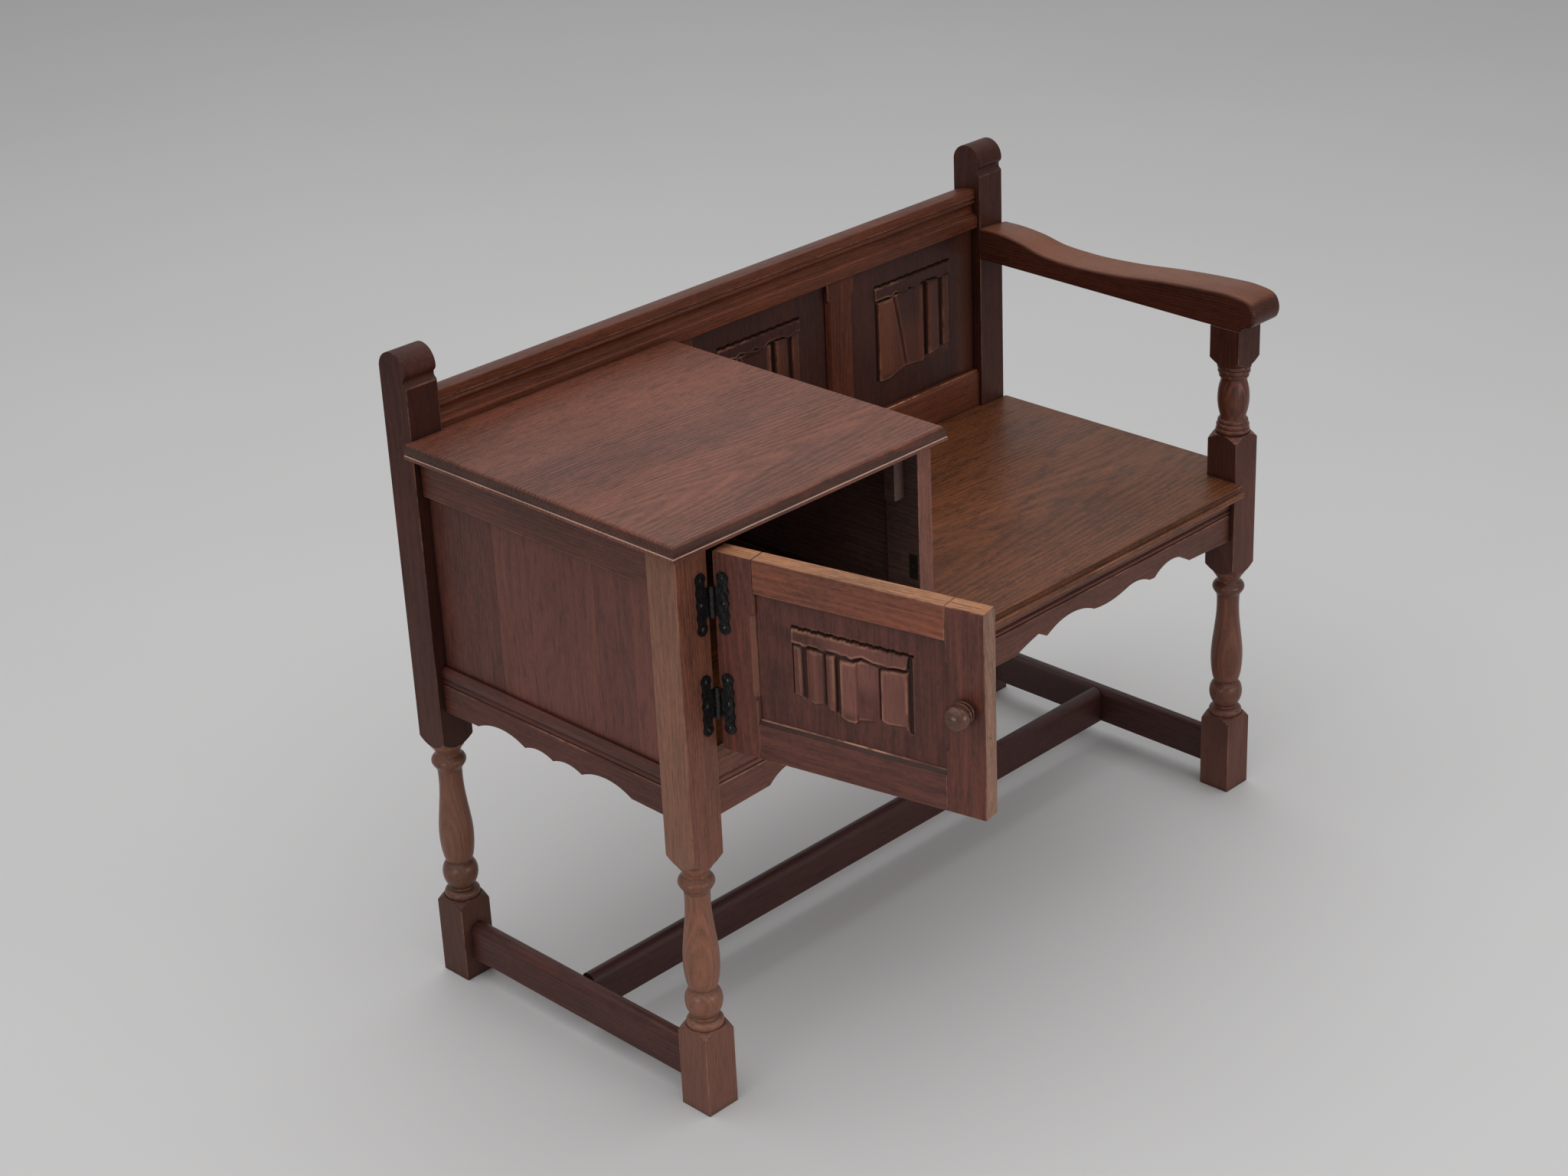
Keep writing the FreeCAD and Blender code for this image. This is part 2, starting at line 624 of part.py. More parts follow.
def door_knob():
    """Turned: a collar of rings and a domed head, standing straight out of the lock stile."""
    steps = [(0, 0), (10.5, 0), (10.5, 2.2), (11.6, 3.4, 10.2, 4.8), (9.0, 5.6), (9.0, 6.6),
             (11.8, 8.4, 10.6, 10.0), (9.8, 10.8), (12.2, 12.2), (13.0, 17.0, 9.6, 23.0),
             (5.4, 25.6, 0.8, 26.4), (0, 26.4)]
    knob = turned(steps)
    knob.rotate(Vec(0, 0, 0), Vec(1, 0, 0), 90)
    knob.translate(Vec(KNOB_X, DOOR_FRONT, KNOB_Z))
    return knob


def knob_screw():
    """From the inside of the door into the knob, with a flat head let into the stile."""
    outward = Vec(0, -1, 0)
    shank = cylinder(2.0, DOOR_THICK + 12, Vec(KNOB_X, DOOR_BACK, KNOB_Z), outward)
    head = Part.makeCone(4.2, 2.0, 2.4, Vec(KNOB_X, DOOR_BACK, KNOB_Z), outward)
    return union([shank, head])


# Hinges: on each side a tall scalloped plate, joined to the knuckles by a short tab
LEAF = 1.5
LOBE_R = 6.5
LOBE_STEP = 13.2          # between the scallops of a plate
LOBES = (-2, -1, 0, 1, 2)
PLATE_HALF = 5.2          # half width of the plate between its scallops
TAB_HALF = 15.0
NAIL_OFFSET = 11.5        # from the pin to the row of nails
NAIL_STEP = 26.0
NAIL_R = 0.9
NAIL_HEAD_R = 2.3
KNUCKLE_SPLIT = 5.0       # half height of the middle knuckle


def hinge_leaf(side, height, bands, bore):
    """side is -1 on the leg and 1 on the door; bands are the heights of its knuckles."""
    face = -HALF_D
    middle = PIN_X + side * NAIL_OFFSET
    reach = LOBE_STEP * LOBES[-1]
    plate = box(middle - PLATE_HALF, middle + PLATE_HALF, face - LEAF, face, height - reach, height + reach)
    toward = Vec(0, -1, 0)
    lobes = [cylinder(LOBE_R, LEAF, Vec(middle, face, height + LOBE_STEP * lobe), toward) for lobe in LOBES]
    near = PIN_X + side * (KNUCKLE_R + 0.5)
    x0, x1 = sorted((near, middle))
    tab = box(x0, x1, face - LEAF, face, height - TAB_HALF, height + TAB_HALF)
    pieces = [plate] + lobes + [tab]
    x0, x1 = sorted((near, PIN_X))
    for low, high in bands:
        pieces.append(cylinder(KNUCKLE_R, high - low, Vec(PIN_X, PIN_Y, low), UP))
        pieces.append(box(x0, x1, face - LEAF, face - 0.3, low, high))
    hole = cylinder(bore, 4 * TAB_HALF, Vec(PIN_X, PIN_Y, height - 2 * TAB_HALF), UP)
    return union(pieces).cut(hole).removeSplitter()


def hinge_pieces(height):
    """The leg's leaf with two knuckles, the door's leaf with one between them, and the pin."""
    split = KNUCKLE_SPLIT + KNUCKLE_GAP
    outer = [(height - TAB_HALF, height - split), (height + split, height + TAB_HALF)]
    middle = [(height - KNUCKLE_SPLIT, height + KNUCKLE_SPLIT)]
    leg_leaf = hinge_leaf(-1, height, outer, PIN_R)
    door_leaf = hinge_leaf(1, height, middle, PIN_R + PIN_CLEARANCE)
    cap = 1.6
    pin = cylinder(PIN_R, 2 * TAB_HALF, Vec(PIN_X, PIN_Y, height - TAB_HALF), UP)
    caps = [cylinder(PIN_R + 0.8, cap, Vec(PIN_X, PIN_Y, height + TAB_HALF), UP),
            cylinder(PIN_R + 0.8, cap, Vec(PIN_X, PIN_Y, height - TAB_HALF - cap), UP)]
    return leg_leaf, door_leaf, union([pin] + caps)


def hinge_nails(side):
    """Hand made nails: a shank in the wood and a flattened dome on the leaf."""
    nails = []
    for height in HINGE_HEIGHTS:
        for offset in (-NAIL_STEP, 0.0, NAIL_STEP):
            at = Vec(PIN_X + side * NAIL_OFFSET, -HALF_D - LEAF, height + offset)
            shank = cylinder(NAIL_R, DOOR_THICK - 6.0, at, Vec(0, 1, 0))
            head = turned([(0, 0), (NAIL_HEAD_R, 0), (NAIL_HEAD_R, 0.4), (1.5, 1.0, 0.4, 1.2), (0, 1.2)])
            head.rotate(Vec(0, 0, 0), Vec(1, 0, 0), 90)
            head.translate(at)
            nails.append(union([shank, head]))
    return nails


# Stop and catch
CATCH_UP = 84.5           # from the foot of the door
CATCH_Z = DOOR_BOTTOM + CATCH_UP
CATCH_Y = (DOOR_FRONT + DOOR_BACK) / 2
STRIKE = 1.0              # thickness of the strike plate
STOP = 14.0               # section of the door stop
STOP_GAP = 0.5
BALL_R = 2.6


def door_stop():
    y0 = DOOR_BACK + STOP_GAP
    high = DOOR_TOP - 3.5
    return box(PARTITION_X - STOP, PARTITION_X, y0, y0 + STOP, high - 50, high)


def catch_ball():
    """A sprung ball in a barrel, let into the edge of the lock stile."""
    barrel = cylinder(4.0, 12.0, Vec(DOOR_RIGHT - 12, CATCH_Y, CATCH_Z), Vec(1, 0, 0))
    ball = Part.makeSphere(BALL_R, Vec(DOOR_RIGHT - 1.2, CATCH_Y, CATCH_Z))
    return union([barrel, ball])


def strike_plate():
    """A thin plate, let in flush."""
    return box(PARTITION_X, PARTITION_X + STRIKE, CATCH_Y - 6, CATCH_Y + 6, CATCH_Z - 14, CATCH_Z + 14)


def dimpled(plate):
    """The plate with its dimple for the ball."""
    return plate.cut(Part.makeSphere(BALL_R + 0.6, Vec(PARTITION_X - 2.4, CATCH_Y, CATCH_Z)))


# Glue blocks, screws and dowels
BLOCK = 60.0
BLOCK_LOW = SEAT_BOTTOM - 35.0
SCREW_X = IN_X - 9.0
SCREW_Y = IN_Y - 7.0
SCREW_BITE = 9.0          # depth in the seat board
DOWEL_R = 4.0
DOWEL_BITE = 9.0
DOWEL_FRONT = 100.0       # from the partition's front edge to the nearer dowel
DOWEL_REAR = 90.0


def seat_corner_blocks():
    blocks = []
    for side_x in (-1, 1):
        for side_y in (-1, 1):
            x = side_x * (HALF_W - SIDE_RECESS - RAIL)
            y = FRONT_FACE + RAIL if side_y < 0 else SEAT_RAIL_Y
            corners = [(x, y), (x - side_x * BLOCK, y), (x, y - side_y * BLOCK)]
            wedge = along_z(corners, BLOCK_LOW, SEAT_BOTTOM)
            x0, x1 = sorted((side_x * IN_X, side_x * HALF_W))
            y0, y1 = sorted((side_y * IN_Y, side_y * HALF_D))
            blocks.append(wedge.cut(box(x0, x1, y0, y1, BLOCK_LOW, SEAT_BOTTOM)))
    return blocks


def seat_screws():
    screws = []
    for side_x in (-1, 1):
        for side_y in (-1, 1):
            at = Vec(side_x * SCREW_X, side_y * SCREW_Y, BLOCK_LOW)
            shank = cylinder(2.0, SEAT_BOTTOM + SCREW_BITE - BLOCK_LOW, at, UP)
            screws.append(union([shank, Part.makeCone(4.0, 2.0, 2.2, at, UP)]))
    return screws


def cabinet_top_dowels():
    """Two in the side rail and two in the partition's rail."""
    dowels = []
    for x in (SIDE_FACE + RAIL / 2, (PARTITION_X + PARTITION_RIGHT) / 2):
        for y in (PARTITION_FRONT + DOWEL_FRONT, PARTITION_BACK - DOWEL_REAR):
            dowels.append(cylinder(DOWEL_R, 13 + DOWEL_BITE, Vec(x, y, TOP_BOTTOM - 13), UP))
    return dowels


def arm_dowels():
    """One upright in the front leg's head, one level in the rear post."""
    x = HALF_W - SECTION / 2
    reach = 15.0
    upright = cylinder(DOWEL_R, 2 * reach, Vec(x, -HALF_D + SECTION / 2, ARM_UNDERSIDE - reach), UP)
    level = cylinder(DOWEL_R, 2 * reach, Vec(x, IN_Y - reach, ARM_UNDERSIDE + 25), Vec(0, 1, 0))
    return [upright, level]


def build():
    """Every node's shape by name, before the move to the origin."""
    parts = {}
    fixed_rails = {
        "left_stretcher": side_stretcher(-1),
        "right_stretcher": side_stretcher(1),
        "front_apron": front_apron(),
        "left_apron": side_apron(-1, SIDE_APRON_TOP, BEVEL),
        "right_apron": side_apron(1, SEAT_BOTTOM),
        "rear_seat_rail": rear_seat_rail(),
        "back_crest_rail": crest_rail(),
        "back_bottom_rail": back_bottom_rail(),
        "cabinet_left_top_rail": cabinet_left_top_rail(),
    }
    centre = centre_stretcher()
    fixed_rails["left_stretcher"] = fixed_rails["left_stretcher"].cut(centre)
    fixed_rails["right_stretcher"] = fixed_rails["right_stretcher"].cut(centre)

    left, right = MUNTIN_LEFTS
    panels = {
        "back_panel_plain": (-IN_X, left, None),
        "back_panel_carved_left": (left + MUNTIN, right, BACK_FIELD),
        "back_panel_carved_right": (right + MUNTIN, IN_X, BACK_FIELD),
    }
    for name, (x0, x1, field) in panels.items():
        parts[name] = upright_panel(x0, x1, BACK_RAIL_TOP, CREST_BOTTOM, BACK_PANEL_Y, PANEL, field)
    back_panels = [parts[name] for name in panels]
    muntins = [back_muntin(x) for x in MUNTIN_LEFTS]
    for name in ("back_crest_rail", "back_bottom_rail"):
        fixed_rails[name] = minus(fixed_rails[name], back_panels + muntins)
    parts["back_muntin_left"] = minus(muntins[0], back_panels)
    parts["back_muntin_right"] = minus(muntins[1], back_panels)

    parts["cabinet_left_panel"] = cabinet_left_panel()
    for name in ("left_apron", "cabinet_left_top_rail"):
        fixed_rails[name] = fixed_rails[name].cut(parts["cabinet_left_panel"])

    in_posts = list(fixed_rails.values()) + back_panels + [parts["cabinet_left_panel"]]
    head = finial()
    low = lower_turning()
    dowels = arm_dowels()
    leaves = {height: hinge_pieces(height) for height in HINGE_HEIGHTS}
    leg_nails = hinge_nails(-1)
    door_nails = hinge_nails(1)
    parts["rear_left_post"] = minus(leg(-1, 1, POST_HEIGHT, low, head), in_posts)
    parts["rear_right_post"] = minus(leg(1, 1, POST_HEIGHT, low, head), in_posts + dowels)
    parts["front_left_leg"] = minus(leg(-1, -1, TOP_BOTTOM, low), in_posts + leg_nails)
    parts["front_right_leg"] = minus(leg(1, -1, ARM_UNDERSIDE, low + arm_turning()), in_posts + dowels)
    parts.update(fixed_rails)
    parts["centre_stretcher"] = centre

    screws = seat_screws()
    top_dowels = cabinet_top_dowels()
    parts["seat_board"] = minus(seat_board(), screws)
    parts["seat_corner_blocks"] = Part.makeCompound([minus(block, screws) for block in seat_corner_blocks()])
    parts["seat_screws"] = Part.makeCompound(screws)
    parts["cabinet_top"] = minus(cabinet_top(), top_dowels)
    parts["cabinet_left_top_rail"] = minus(parts["cabinet_left_top_rail"], top_dowels)
    parts["cabinet_top_dowels"] = Part.makeCompound(top_dowels)
    parts.update(partition_pieces())
    parts["partition_top_rail"] = minus(parts["partition_top_rail"], top_dowels)
    plate = strike_plate()
    parts["partition_front_stile"] = parts["partition_front_stile"].cut(plate)
    parts["arm_rest"] = minus(arm_rest(), dowels)
    parts["arm_dowels"] = Part.makeCompound(dowels)
    parts["door_stop"] = door_stop()
    parts["catch_strike"] = dimpled(plate)

    for label, height in zip(("lower", "upper"), HINGE_HEIGHTS):
        leg_leaf, door_leaf, pin = leaves[height]
        parts[label + "_hinge_leg_leaf"] = minus(leg_leaf, leg_nails + [pin])
        parts[label + "_hinge_door_leaf"] = swung(minus(door_leaf, door_nails))
        parts[label + "_hinge_pin"] = pin
    parts["hinge_nails_leg"] = Part.makeCompound(leg_nails)
    parts["hinge_nails_door"] = swung(Part.makeCompound(door_nails))

    door = door_pieces()
    screw = knob_screw()
    ball = catch_ball()
    door["door_hinge_stile"] = minus(door["door_hinge_stile"], door_nails)
    door["door_lock_stile"] = minus(door["door_lock_stile"], [screw, ball])
    door["door_knob"] = door_knob().cut(screw)
    door["knob_screw"] = screw
    door["catch_ball"] = ball
    for name, shape in door.items():
        parts[name] = swung(shape)
    return parts


def main():
    parts = build()
    os.makedirs("parts", exist_ok=True)
    bounds = Part.makeCompound(list(parts.values())).optimalBoundingBox(False, False)
    shift = Vec(-(bounds.XMin + bounds.XMax) / 2, -(bounds.YMin + bounds.YMax) / 2, -bounds.ZMin)
    print("moved by", [round(value, 4) for value in shift])
    print("size", round(bounds.XLength, 2), round(bounds.YLength, 2), round(bounds.ZLength, 2))
    for name, shape in sorted(parts.items()):
        shape.translate(shift)
        solids = len(shape.Solids)
        print(name, "solids", solids, "valid", shape.isValid(), "volume cm3", round(shape.Volume / 1000, 2))
        shape.exportStep("parts/" + name + ".step")


main()
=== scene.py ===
# %% [markdown]
# # A telephone bench of stained oak
# A telephone bench is a hall seat with a small cupboard: the telephone stands on the cupboard, and whoever
# talks sits beside it. The solids of this bench come from a construction drawing. This lesson gives them
# their looks: eased edges, carving, staves, ironwork, stain and varnish.

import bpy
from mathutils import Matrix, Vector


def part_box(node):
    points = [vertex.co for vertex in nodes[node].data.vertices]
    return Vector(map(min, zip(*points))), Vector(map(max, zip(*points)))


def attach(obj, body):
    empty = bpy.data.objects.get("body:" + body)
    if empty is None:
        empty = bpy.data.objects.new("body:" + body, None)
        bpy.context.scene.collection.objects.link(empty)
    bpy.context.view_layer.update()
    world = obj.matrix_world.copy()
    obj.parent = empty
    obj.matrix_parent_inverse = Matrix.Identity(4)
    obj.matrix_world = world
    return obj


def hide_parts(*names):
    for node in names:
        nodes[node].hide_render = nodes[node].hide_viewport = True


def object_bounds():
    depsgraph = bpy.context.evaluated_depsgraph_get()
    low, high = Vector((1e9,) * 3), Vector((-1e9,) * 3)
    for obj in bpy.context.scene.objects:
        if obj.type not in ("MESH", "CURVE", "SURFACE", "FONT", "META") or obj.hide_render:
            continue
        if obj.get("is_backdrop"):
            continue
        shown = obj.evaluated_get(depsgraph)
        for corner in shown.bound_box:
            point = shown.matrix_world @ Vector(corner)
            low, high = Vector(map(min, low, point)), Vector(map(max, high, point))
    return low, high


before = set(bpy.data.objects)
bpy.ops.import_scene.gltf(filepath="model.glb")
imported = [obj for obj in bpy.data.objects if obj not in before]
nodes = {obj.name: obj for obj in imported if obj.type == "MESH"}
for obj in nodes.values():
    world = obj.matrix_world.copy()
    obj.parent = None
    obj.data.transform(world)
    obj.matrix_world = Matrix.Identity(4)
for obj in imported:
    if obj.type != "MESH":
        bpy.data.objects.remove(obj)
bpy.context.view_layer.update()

# %% What the lesson needs
import math

import bmesh
import bpy
import numpy as np
from mathutils import Matrix, Vector

MM = 0.001
scene = bpy.context.scene
scene.view_settings.view_transform = "Standard"


def linear(*tone):
    """A colour as a painter's chart gives it, 0 to 255, in the linear values that Blender works in."""
    return tuple((c / 255 / 12.92 if c < 10.3 else ((c / 255 + 0.055) / 1.055) ** 2.4) for c in tone) + (1.0,)


print("mid stain is", [round(c, 3) for c in linear(105, 68, 54)])

# %% [markdown]
# ## The camera
# The photographer stood in front and to the left, a little above head height for someone seated, and tilted
# the camera a few degrees. A long lens of 66 mm keeps the upright lines nearly parallel.

# %% Placing the camera
AZIMUTH, ELEVATION, ROLL = math.radians(-44.362), math.radians(25.499), math.radians(-2.693)
STANDPOINT = (-2.0919, -1.8805, 1.7615)
LENS, FILM_WIDTH = 65.87, 36.0
FAR_ENOUGH = 60.0


def add_camera():
    level = math.cos(ELEVATION)
    back = Vector((math.sin(AZIMUTH) * level, -math.cos(AZIMUTH) * level, math.sin(ELEVATION)))
    right = (-back).cross(Vector((0, 0, 1))).normalized()
    up = right.cross(-back)
    rolled = math.cos(ROLL) * right + math.sin(ROLL) * up
    facing = Matrix((rolled, -rolled.cross(back), back)).transposed().to_4x4()
    data = bpy.data.cameras.new("camera")
    data.lens, data.sensor_width, data.sensor_fit = LENS, FILM_WIDTH, "HORIZONTAL"
    data.clip_end = FAR_ENOUGH
    camera = bpy.data.objects.new("camera", data)
    camera.matrix_world = Matrix.Translation(STANDPOINT) @ facing
    scene.collection.objects.link(camera)
    scene.camera = camera
    return camera


camera = add_camera()
print("camera at", [round(v, 3) for v in camera.matrix_world.translation])

# %% [markdown]
# ## Writing a shader as arithmetic
# A shader is a sheet of nodes joined by links. Most of it is small sums, and sums are easier to read as
# Python. `Term` stands for one output: `2 * a + 1` on it adds the Math nodes. Everything else goes through
# one method, `Sheet.node`, which takes the node's type, what goes into its sockets, and its settings.

# %% Terms and sheets
def add_node(tree, kind, inputs, settings):
    """Adds a node to any tree, sets it, and links or fills its inputs."""
    made = tree.nodes.new(kind)
    for key, value in settings.items():
        setattr(made, key, value)
    for key, value in inputs.items():
        if isinstance(value, bpy.types.NodeSocket):
            tree.links.new(value, made.inputs[key])
        else:
            made.inputs[key].default_value = value
    return made


class Term:
    """One output socket. Arithmetic on it adds Math nodes to its sheet."""

    def __init__(self, sheet, socket):
        self.sheet, self.socket = sheet, socket

    def math(self, operation, *others, flip=False):
        terms = [self, *others]
        return self.sheet.node("ShaderNodeMath", terms[::-1] if flip else terms, operation=operation)

    def __add__(self, other):
        return self.math("ADD", other)

    def __sub__(self, other):
        return self.math("SUBTRACT", other)

    def __rsub__(self, other):
        return self.math("SUBTRACT", other, flip=True)

    def __mul__(self, other):
        return self.math("MULTIPLY", other)

    __radd__, __rmul__ = __add__, __mul__

    def between(self, low, high):
        """0 below low, 1 above high, and a smooth step from one to the other."""
        return self.sheet.node("ShaderNodeMapRange", {0: self, 1: low, 2: high, 3: 0.0, 4: 1.0},
                               interpolation_type="SMOOTHSTEP")


class Sheet:
    """The node tree of one new material."""

    def __init__(self, name):
        self.material = bpy.data.materials.new(name)
        self.material.use_nodes = True
        self.tree = self.material.node_tree
        self.tree.nodes.clear()

    def node(self, kind, inputs=(), output=0, **settings):
        pairs = inputs.items() if isinstance(inputs, dict) else enumerate(inputs)
        inputs = {key: value.socket if isinstance(value, Term) else value for key, value in pairs}
        made = add_node(self.tree, kind, inputs, settings)
        return Term(self, made.outputs[output]) if made.outputs else None

    def ramp(self, share, tones):
        """Three tones in turn, as share goes from 0 to 1."""
        made = self.node("ShaderNodeValToRGB", [share])
        elements = made.socket.node.color_ramp.elements
        elements.new(0.5)
        for element, tone in zip(elements, tones):
            element.color = tone
        return made

    def place(self):
        """The point's own coordinates on its object."""
        return self.node("ShaderNodeTexCoord", output=3)

    def marked(self, label):
        """A number that the mesh carries."""
        return self.node("ShaderNodeAttribute", output=2, attribute_name=label)

    def blend(self, share, one, other):
        """Colour one where share is 0, the other where it is 1."""
        return self.node("ShaderNodeMix", {0: share, 6: one, 7: other}, output=2, data_type="RGBA")

    def noise(self, where, scale, detail=2.0, roughness=0.5):
        inputs = {"Vector": where, "Scale": scale, "Detail": detail, "Roughness": roughness}
        return self.node("ShaderNodeTexNoise", inputs)

    def finish(self, **sockets):
        """Ends the sheet in a Principled shader; keyword names are its sockets with _ for a space."""
        inputs = {key.replace("_", " "): value for key, value in sockets.items()}
        shader = self.node("ShaderNodeBsdfPrincipled", inputs)
        self.node("ShaderNodeOutputMaterial", {"Surface": shader})
        return self.material


print("a shader is written with Term and Sheet")

# %% [markdown]
# ## Floor and light
# The bench stands on a pale floor in soft daylight. The floor's own colour makes the background pale, and the
# lamps stay at a level where a colour renders about as it was written. A wide lamp overhead stands for the
# ceiling's light and two low ones, on the left and in front, for windows.

# %% A pale floor
FLOOR_REACH = 16.0


def add_floor():
    corners = [(x * FLOOR_REACH, y * FLOOR_REACH, 0) for x, y in ((-1, -1), (1, -1), (1, 1), (-1, 1))]
    mesh = bpy.data.meshes.new("floor")
    mesh.from_pydata(corners, [], [(0, 1, 2, 3)])
    sheet = Sheet("pale_floor")
    mottle = sheet.noise(sheet.place(), 1.3, 3.0)
    colour = sheet.blend(mottle, linear(189, 188, 188), linear(195, 194, 194))
    mesh.materials.append(sheet.finish(Base_Color=colour, Roughness=0.62))
    floor = bpy.data.objects.new("floor", mesh)
    scene.collection.objects.link(floor)
    floor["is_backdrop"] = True
    return floor


floor = add_floor()
print("floor", [round(v, 1) for v in floor.dimensions])

# %% Soft light
SKY_STRENGTH = 0.46


def add_lamp(name, place, aim, size, watts, spread=180):
    data = bpy.data.lights.new(name, "AREA")
    data.shape, data.size, data.size_y = "RECTANGLE", *size
    data.energy, data.spread = watts, math.radians(spread)
    lamp = bpy.data.objects.new(name, data)
    lamp.location = place
    lamp.rotation_mode = "QUATERNION"
    lamp.rotation_quaternion = (Vector(aim) - Vector(place)).to_track_quat("-Z", "Y")
    scene.collection.objects.link(lamp)
    return lamp


def add_world():
    world = bpy.data.worlds.new("daylight")
    world.use_nodes = True
    sky = world.node_tree.nodes["Background"]
    sky.inputs["Color"].default_value = (1.0, 1.0, 1.0, 1.0)
    sky.inputs["Strength"].default_value = SKY_STRENGTH
    scene.world = world


add_world()
lamps = [
    add_lamp("ceiling", (-0.3, 0.3, 3.0), (-0.3, 0.3, 0.0), (6.0, 6.0), 112.0),
    add_lamp("window", (-2.8, -0.4, 0.6), (-0.3, -0.1, 0.4), (1.0, 0.7), 3.1, spread=90),
    add_lamp("front window", (0.2, -3.1, 0.8), (0.0, -0.1, 0.2), (2.2, 0.8), 8.7, spread=100),
]
print("lamps", [lamp.name for lamp in lamps])

# %% [markdown]
# ## Stained oak
# Oak is a tree's rings cut by a saw. The rings are tubes round the pith, so each board is worked out from
# where it lay in the log: `along` runs with the grain, and `across` and `deep` say how far the point lay from
# the pith. Where a board is nearly flat to the rings they meet its face as long pointed arches. Stain goes
# dark in the pores, and handling wears it off the edges.

# %% The oak of one board
# The pale tone of stain worn off an edge, also laid as a painted highlight, and the dark tone of painted
# shade
WORN_AND_HIGHLIGHT, SHADE_TONE = linear(168, 120, 94), linear(24, 11, 8)
DARK_SHARE, LIGHT_SHARE = 0.62, 1.24
AXES = {"X": (0, 1, 2), "Y": (1, 0, 2), "Z": (2, 0, 1)}
finishes = {}


def stain(*tone):
    """Dark, middle and light tones of one stain, from its middle."""
    return tuple(linear(*(c * share for c in tone)) for share in (DARK_SHARE, 1.0, LIGHT_SHARE))


def oak(name, grain, tone, pith, ring, slope=0.03, wear_and_highlight=0.5, gloss=0.38, turn=0.0, boards=None,
        lines=0.18, blots=0.4, low=None, painted_light=(126, 86, 68), shine=0.24):
    """Files a board's stain and varnish under its name. grain is the axis it runs along, tone the middle of
    its stain, pith how far the log's heart lies from the board, across and deep, in metres, and ring a year's
    growth in mm. lines says how far the rings show, and blots how unevenly the stain took. slope tilts the
    board against the heart, turn turns its grain, and boards names the mark that tells boards apart. low is
    a paler tone painted near the floor for the light that the floor throws up, and the tone after it is
    painted light, laid on the faces that the mesh marks as lit."""
    sheet, tones = Sheet("oak_" + name), stain(*tone)
    place = sheet.place()
    if turn:
        place = sheet.node("ShaderNodeMapping", {"Vector": place, "Rotation": (0, 0, turn)})
    paler = 0.0
    if boards:
        drawn = sheet.marked(boards)
        paler = drawn * 0.7 - 0.35
        apart = sheet.node("ShaderNodeCombineXYZ", [drawn * 3.0, drawn * 0.7, drawn * 2.0])
        place = sheet.node("ShaderNodeVectorMath", [place, apart], operation="ADD")
    split = sheet.node("ShaderNodeSeparateXYZ", [place]).socket.node
    along, across, deep = (Term(sheet, split.outputs[axis]) for axis in AXES[grain])

    def streaks(length, width, detail=2.0, roughness=0.5):
        """Noise at its own scale along the grain and across it."""
        where = sheet.node("ShaderNodeCombineXYZ", [along * length, across * width, deep * width])
        return sheet.noise(where, 1.0, detail, roughness)

    # The year's rings round the pith, swaying along the board
    sway = streaks(2.2, 9.0) - 0.5
    tremble = streaks(9.0, 60.0) - 0.5
    from_pith = across - pith[0] + sway * 0.035
    under = deep - pith[1] + along * slope + sway * 0.03
    radius = (from_pith * from_pith + under * under).math("SQRT") + tremble * 0.0035
    year = (radius * (1000.0 / ring)).math("FRACT")
    early = year.between(0.0, 0.35) * (1.0 - year.between(0.45, 1.0))

    # Fibres, pores, broad patches and fine specks
    fibre = streaks(14.0, 420.0, 3.0, 0.6)
    pores = streaks(55.0, 1500.0, 1.0).between(0.57, 0.66)
    patch = streaks(3.0, 11.0, 3.0, 0.6)
    speck = streaks(150.0, 330.0, 2.0, 0.6)

    lightness = early * -lines + fibre.between(0.3, 0.7) * 0.3 + patch.between(0.2, 0.8) * 0.46 + 0.09 + paler
    lightness = lightness + speck.between(0.3, 0.7) * 0.2
    colour = sheet.ramp(lightness, tones)
    blot = streaks(32.0, 120.0, 5.0, 0.7).between(0.52, 0.64)
    colour = sheet.blend(blot * blots, colour, tones[0])
    # Painted light: near the floor the stain blends to a paler tone, for the light the floor throws up onto
    # the low parts
    if low:
        above = Term(sheet, split.outputs["Z"])
        near_floor = (1.0 - above.between(0.0, 0.62)) * (0.45 + 0.55 * patch.between(0.3, 0.7))
        colour = sheet.blend(near_floor * 0.8, colour, linear(*low))
    # Painted light: faces that the mesh marks as lit blend to a paler tone
    broad = sheet.marked("painted_light") * (0.55 + 0.45 * patch.between(0.3, 0.7))
    colour = sheet.blend(broad, colour, linear(*painted_light))
    pored = pores * (0.25 + 0.6 * early)
    colour = sheet.blend(pored * 0.6, colour, tones[0])

    # Stain worn off the edges, and painted shade: ambient occlusion and the mesh's shade mark darken corners,
    # hollows and faces in shade
    rubbed = sheet.noise(place, 70.0, 4.0, 0.7).between(0.3, 0.6)
    rubbed = rubbed * sheet.noise(place, 11.0).between(0.36, 0.6)
    # Eased edges blend to the pale worn tone: stain worn off, and on the door's bottom bevel a painted
    # highlight
    colour = sheet.blend(sheet.marked("arris") * rubbed * wear_and_highlight, colour, WORN_AND_HIGHLIGHT)
    closed = 1.0 - sheet.node("ShaderNodeAmbientOcclusion", {"Distance": 0.007}, output=1, samples=4)
    shade_share = (sheet.marked("painted_shade") * 0.8 + closed * 0.75).math("MINIMUM", 0.9)
    colour = sheet.blend(shade_share, colour, SHADE_TONE)

    polish = sheet.noise(place, 7.0, 3.0).between(0.3, 0.75)
    height = fibre * 0.35 - pored * 0.8 - early * 0.25
    bump = sheet.node("ShaderNodeBump", {"Strength": 0.35, "Distance": 0.00035, "Height": height})
    roughness = gloss + 0.12 * polish + 0.1 * pored
    finishes[name] = sheet.finish(Base_Color=colour, Roughness=roughness, Normal=bump, Coat_Weight=0.05,
                                  Coat_Roughness=0.25, Specular_IOR_Level=shine)


print("oak is made for grain along", sorted(AXES))
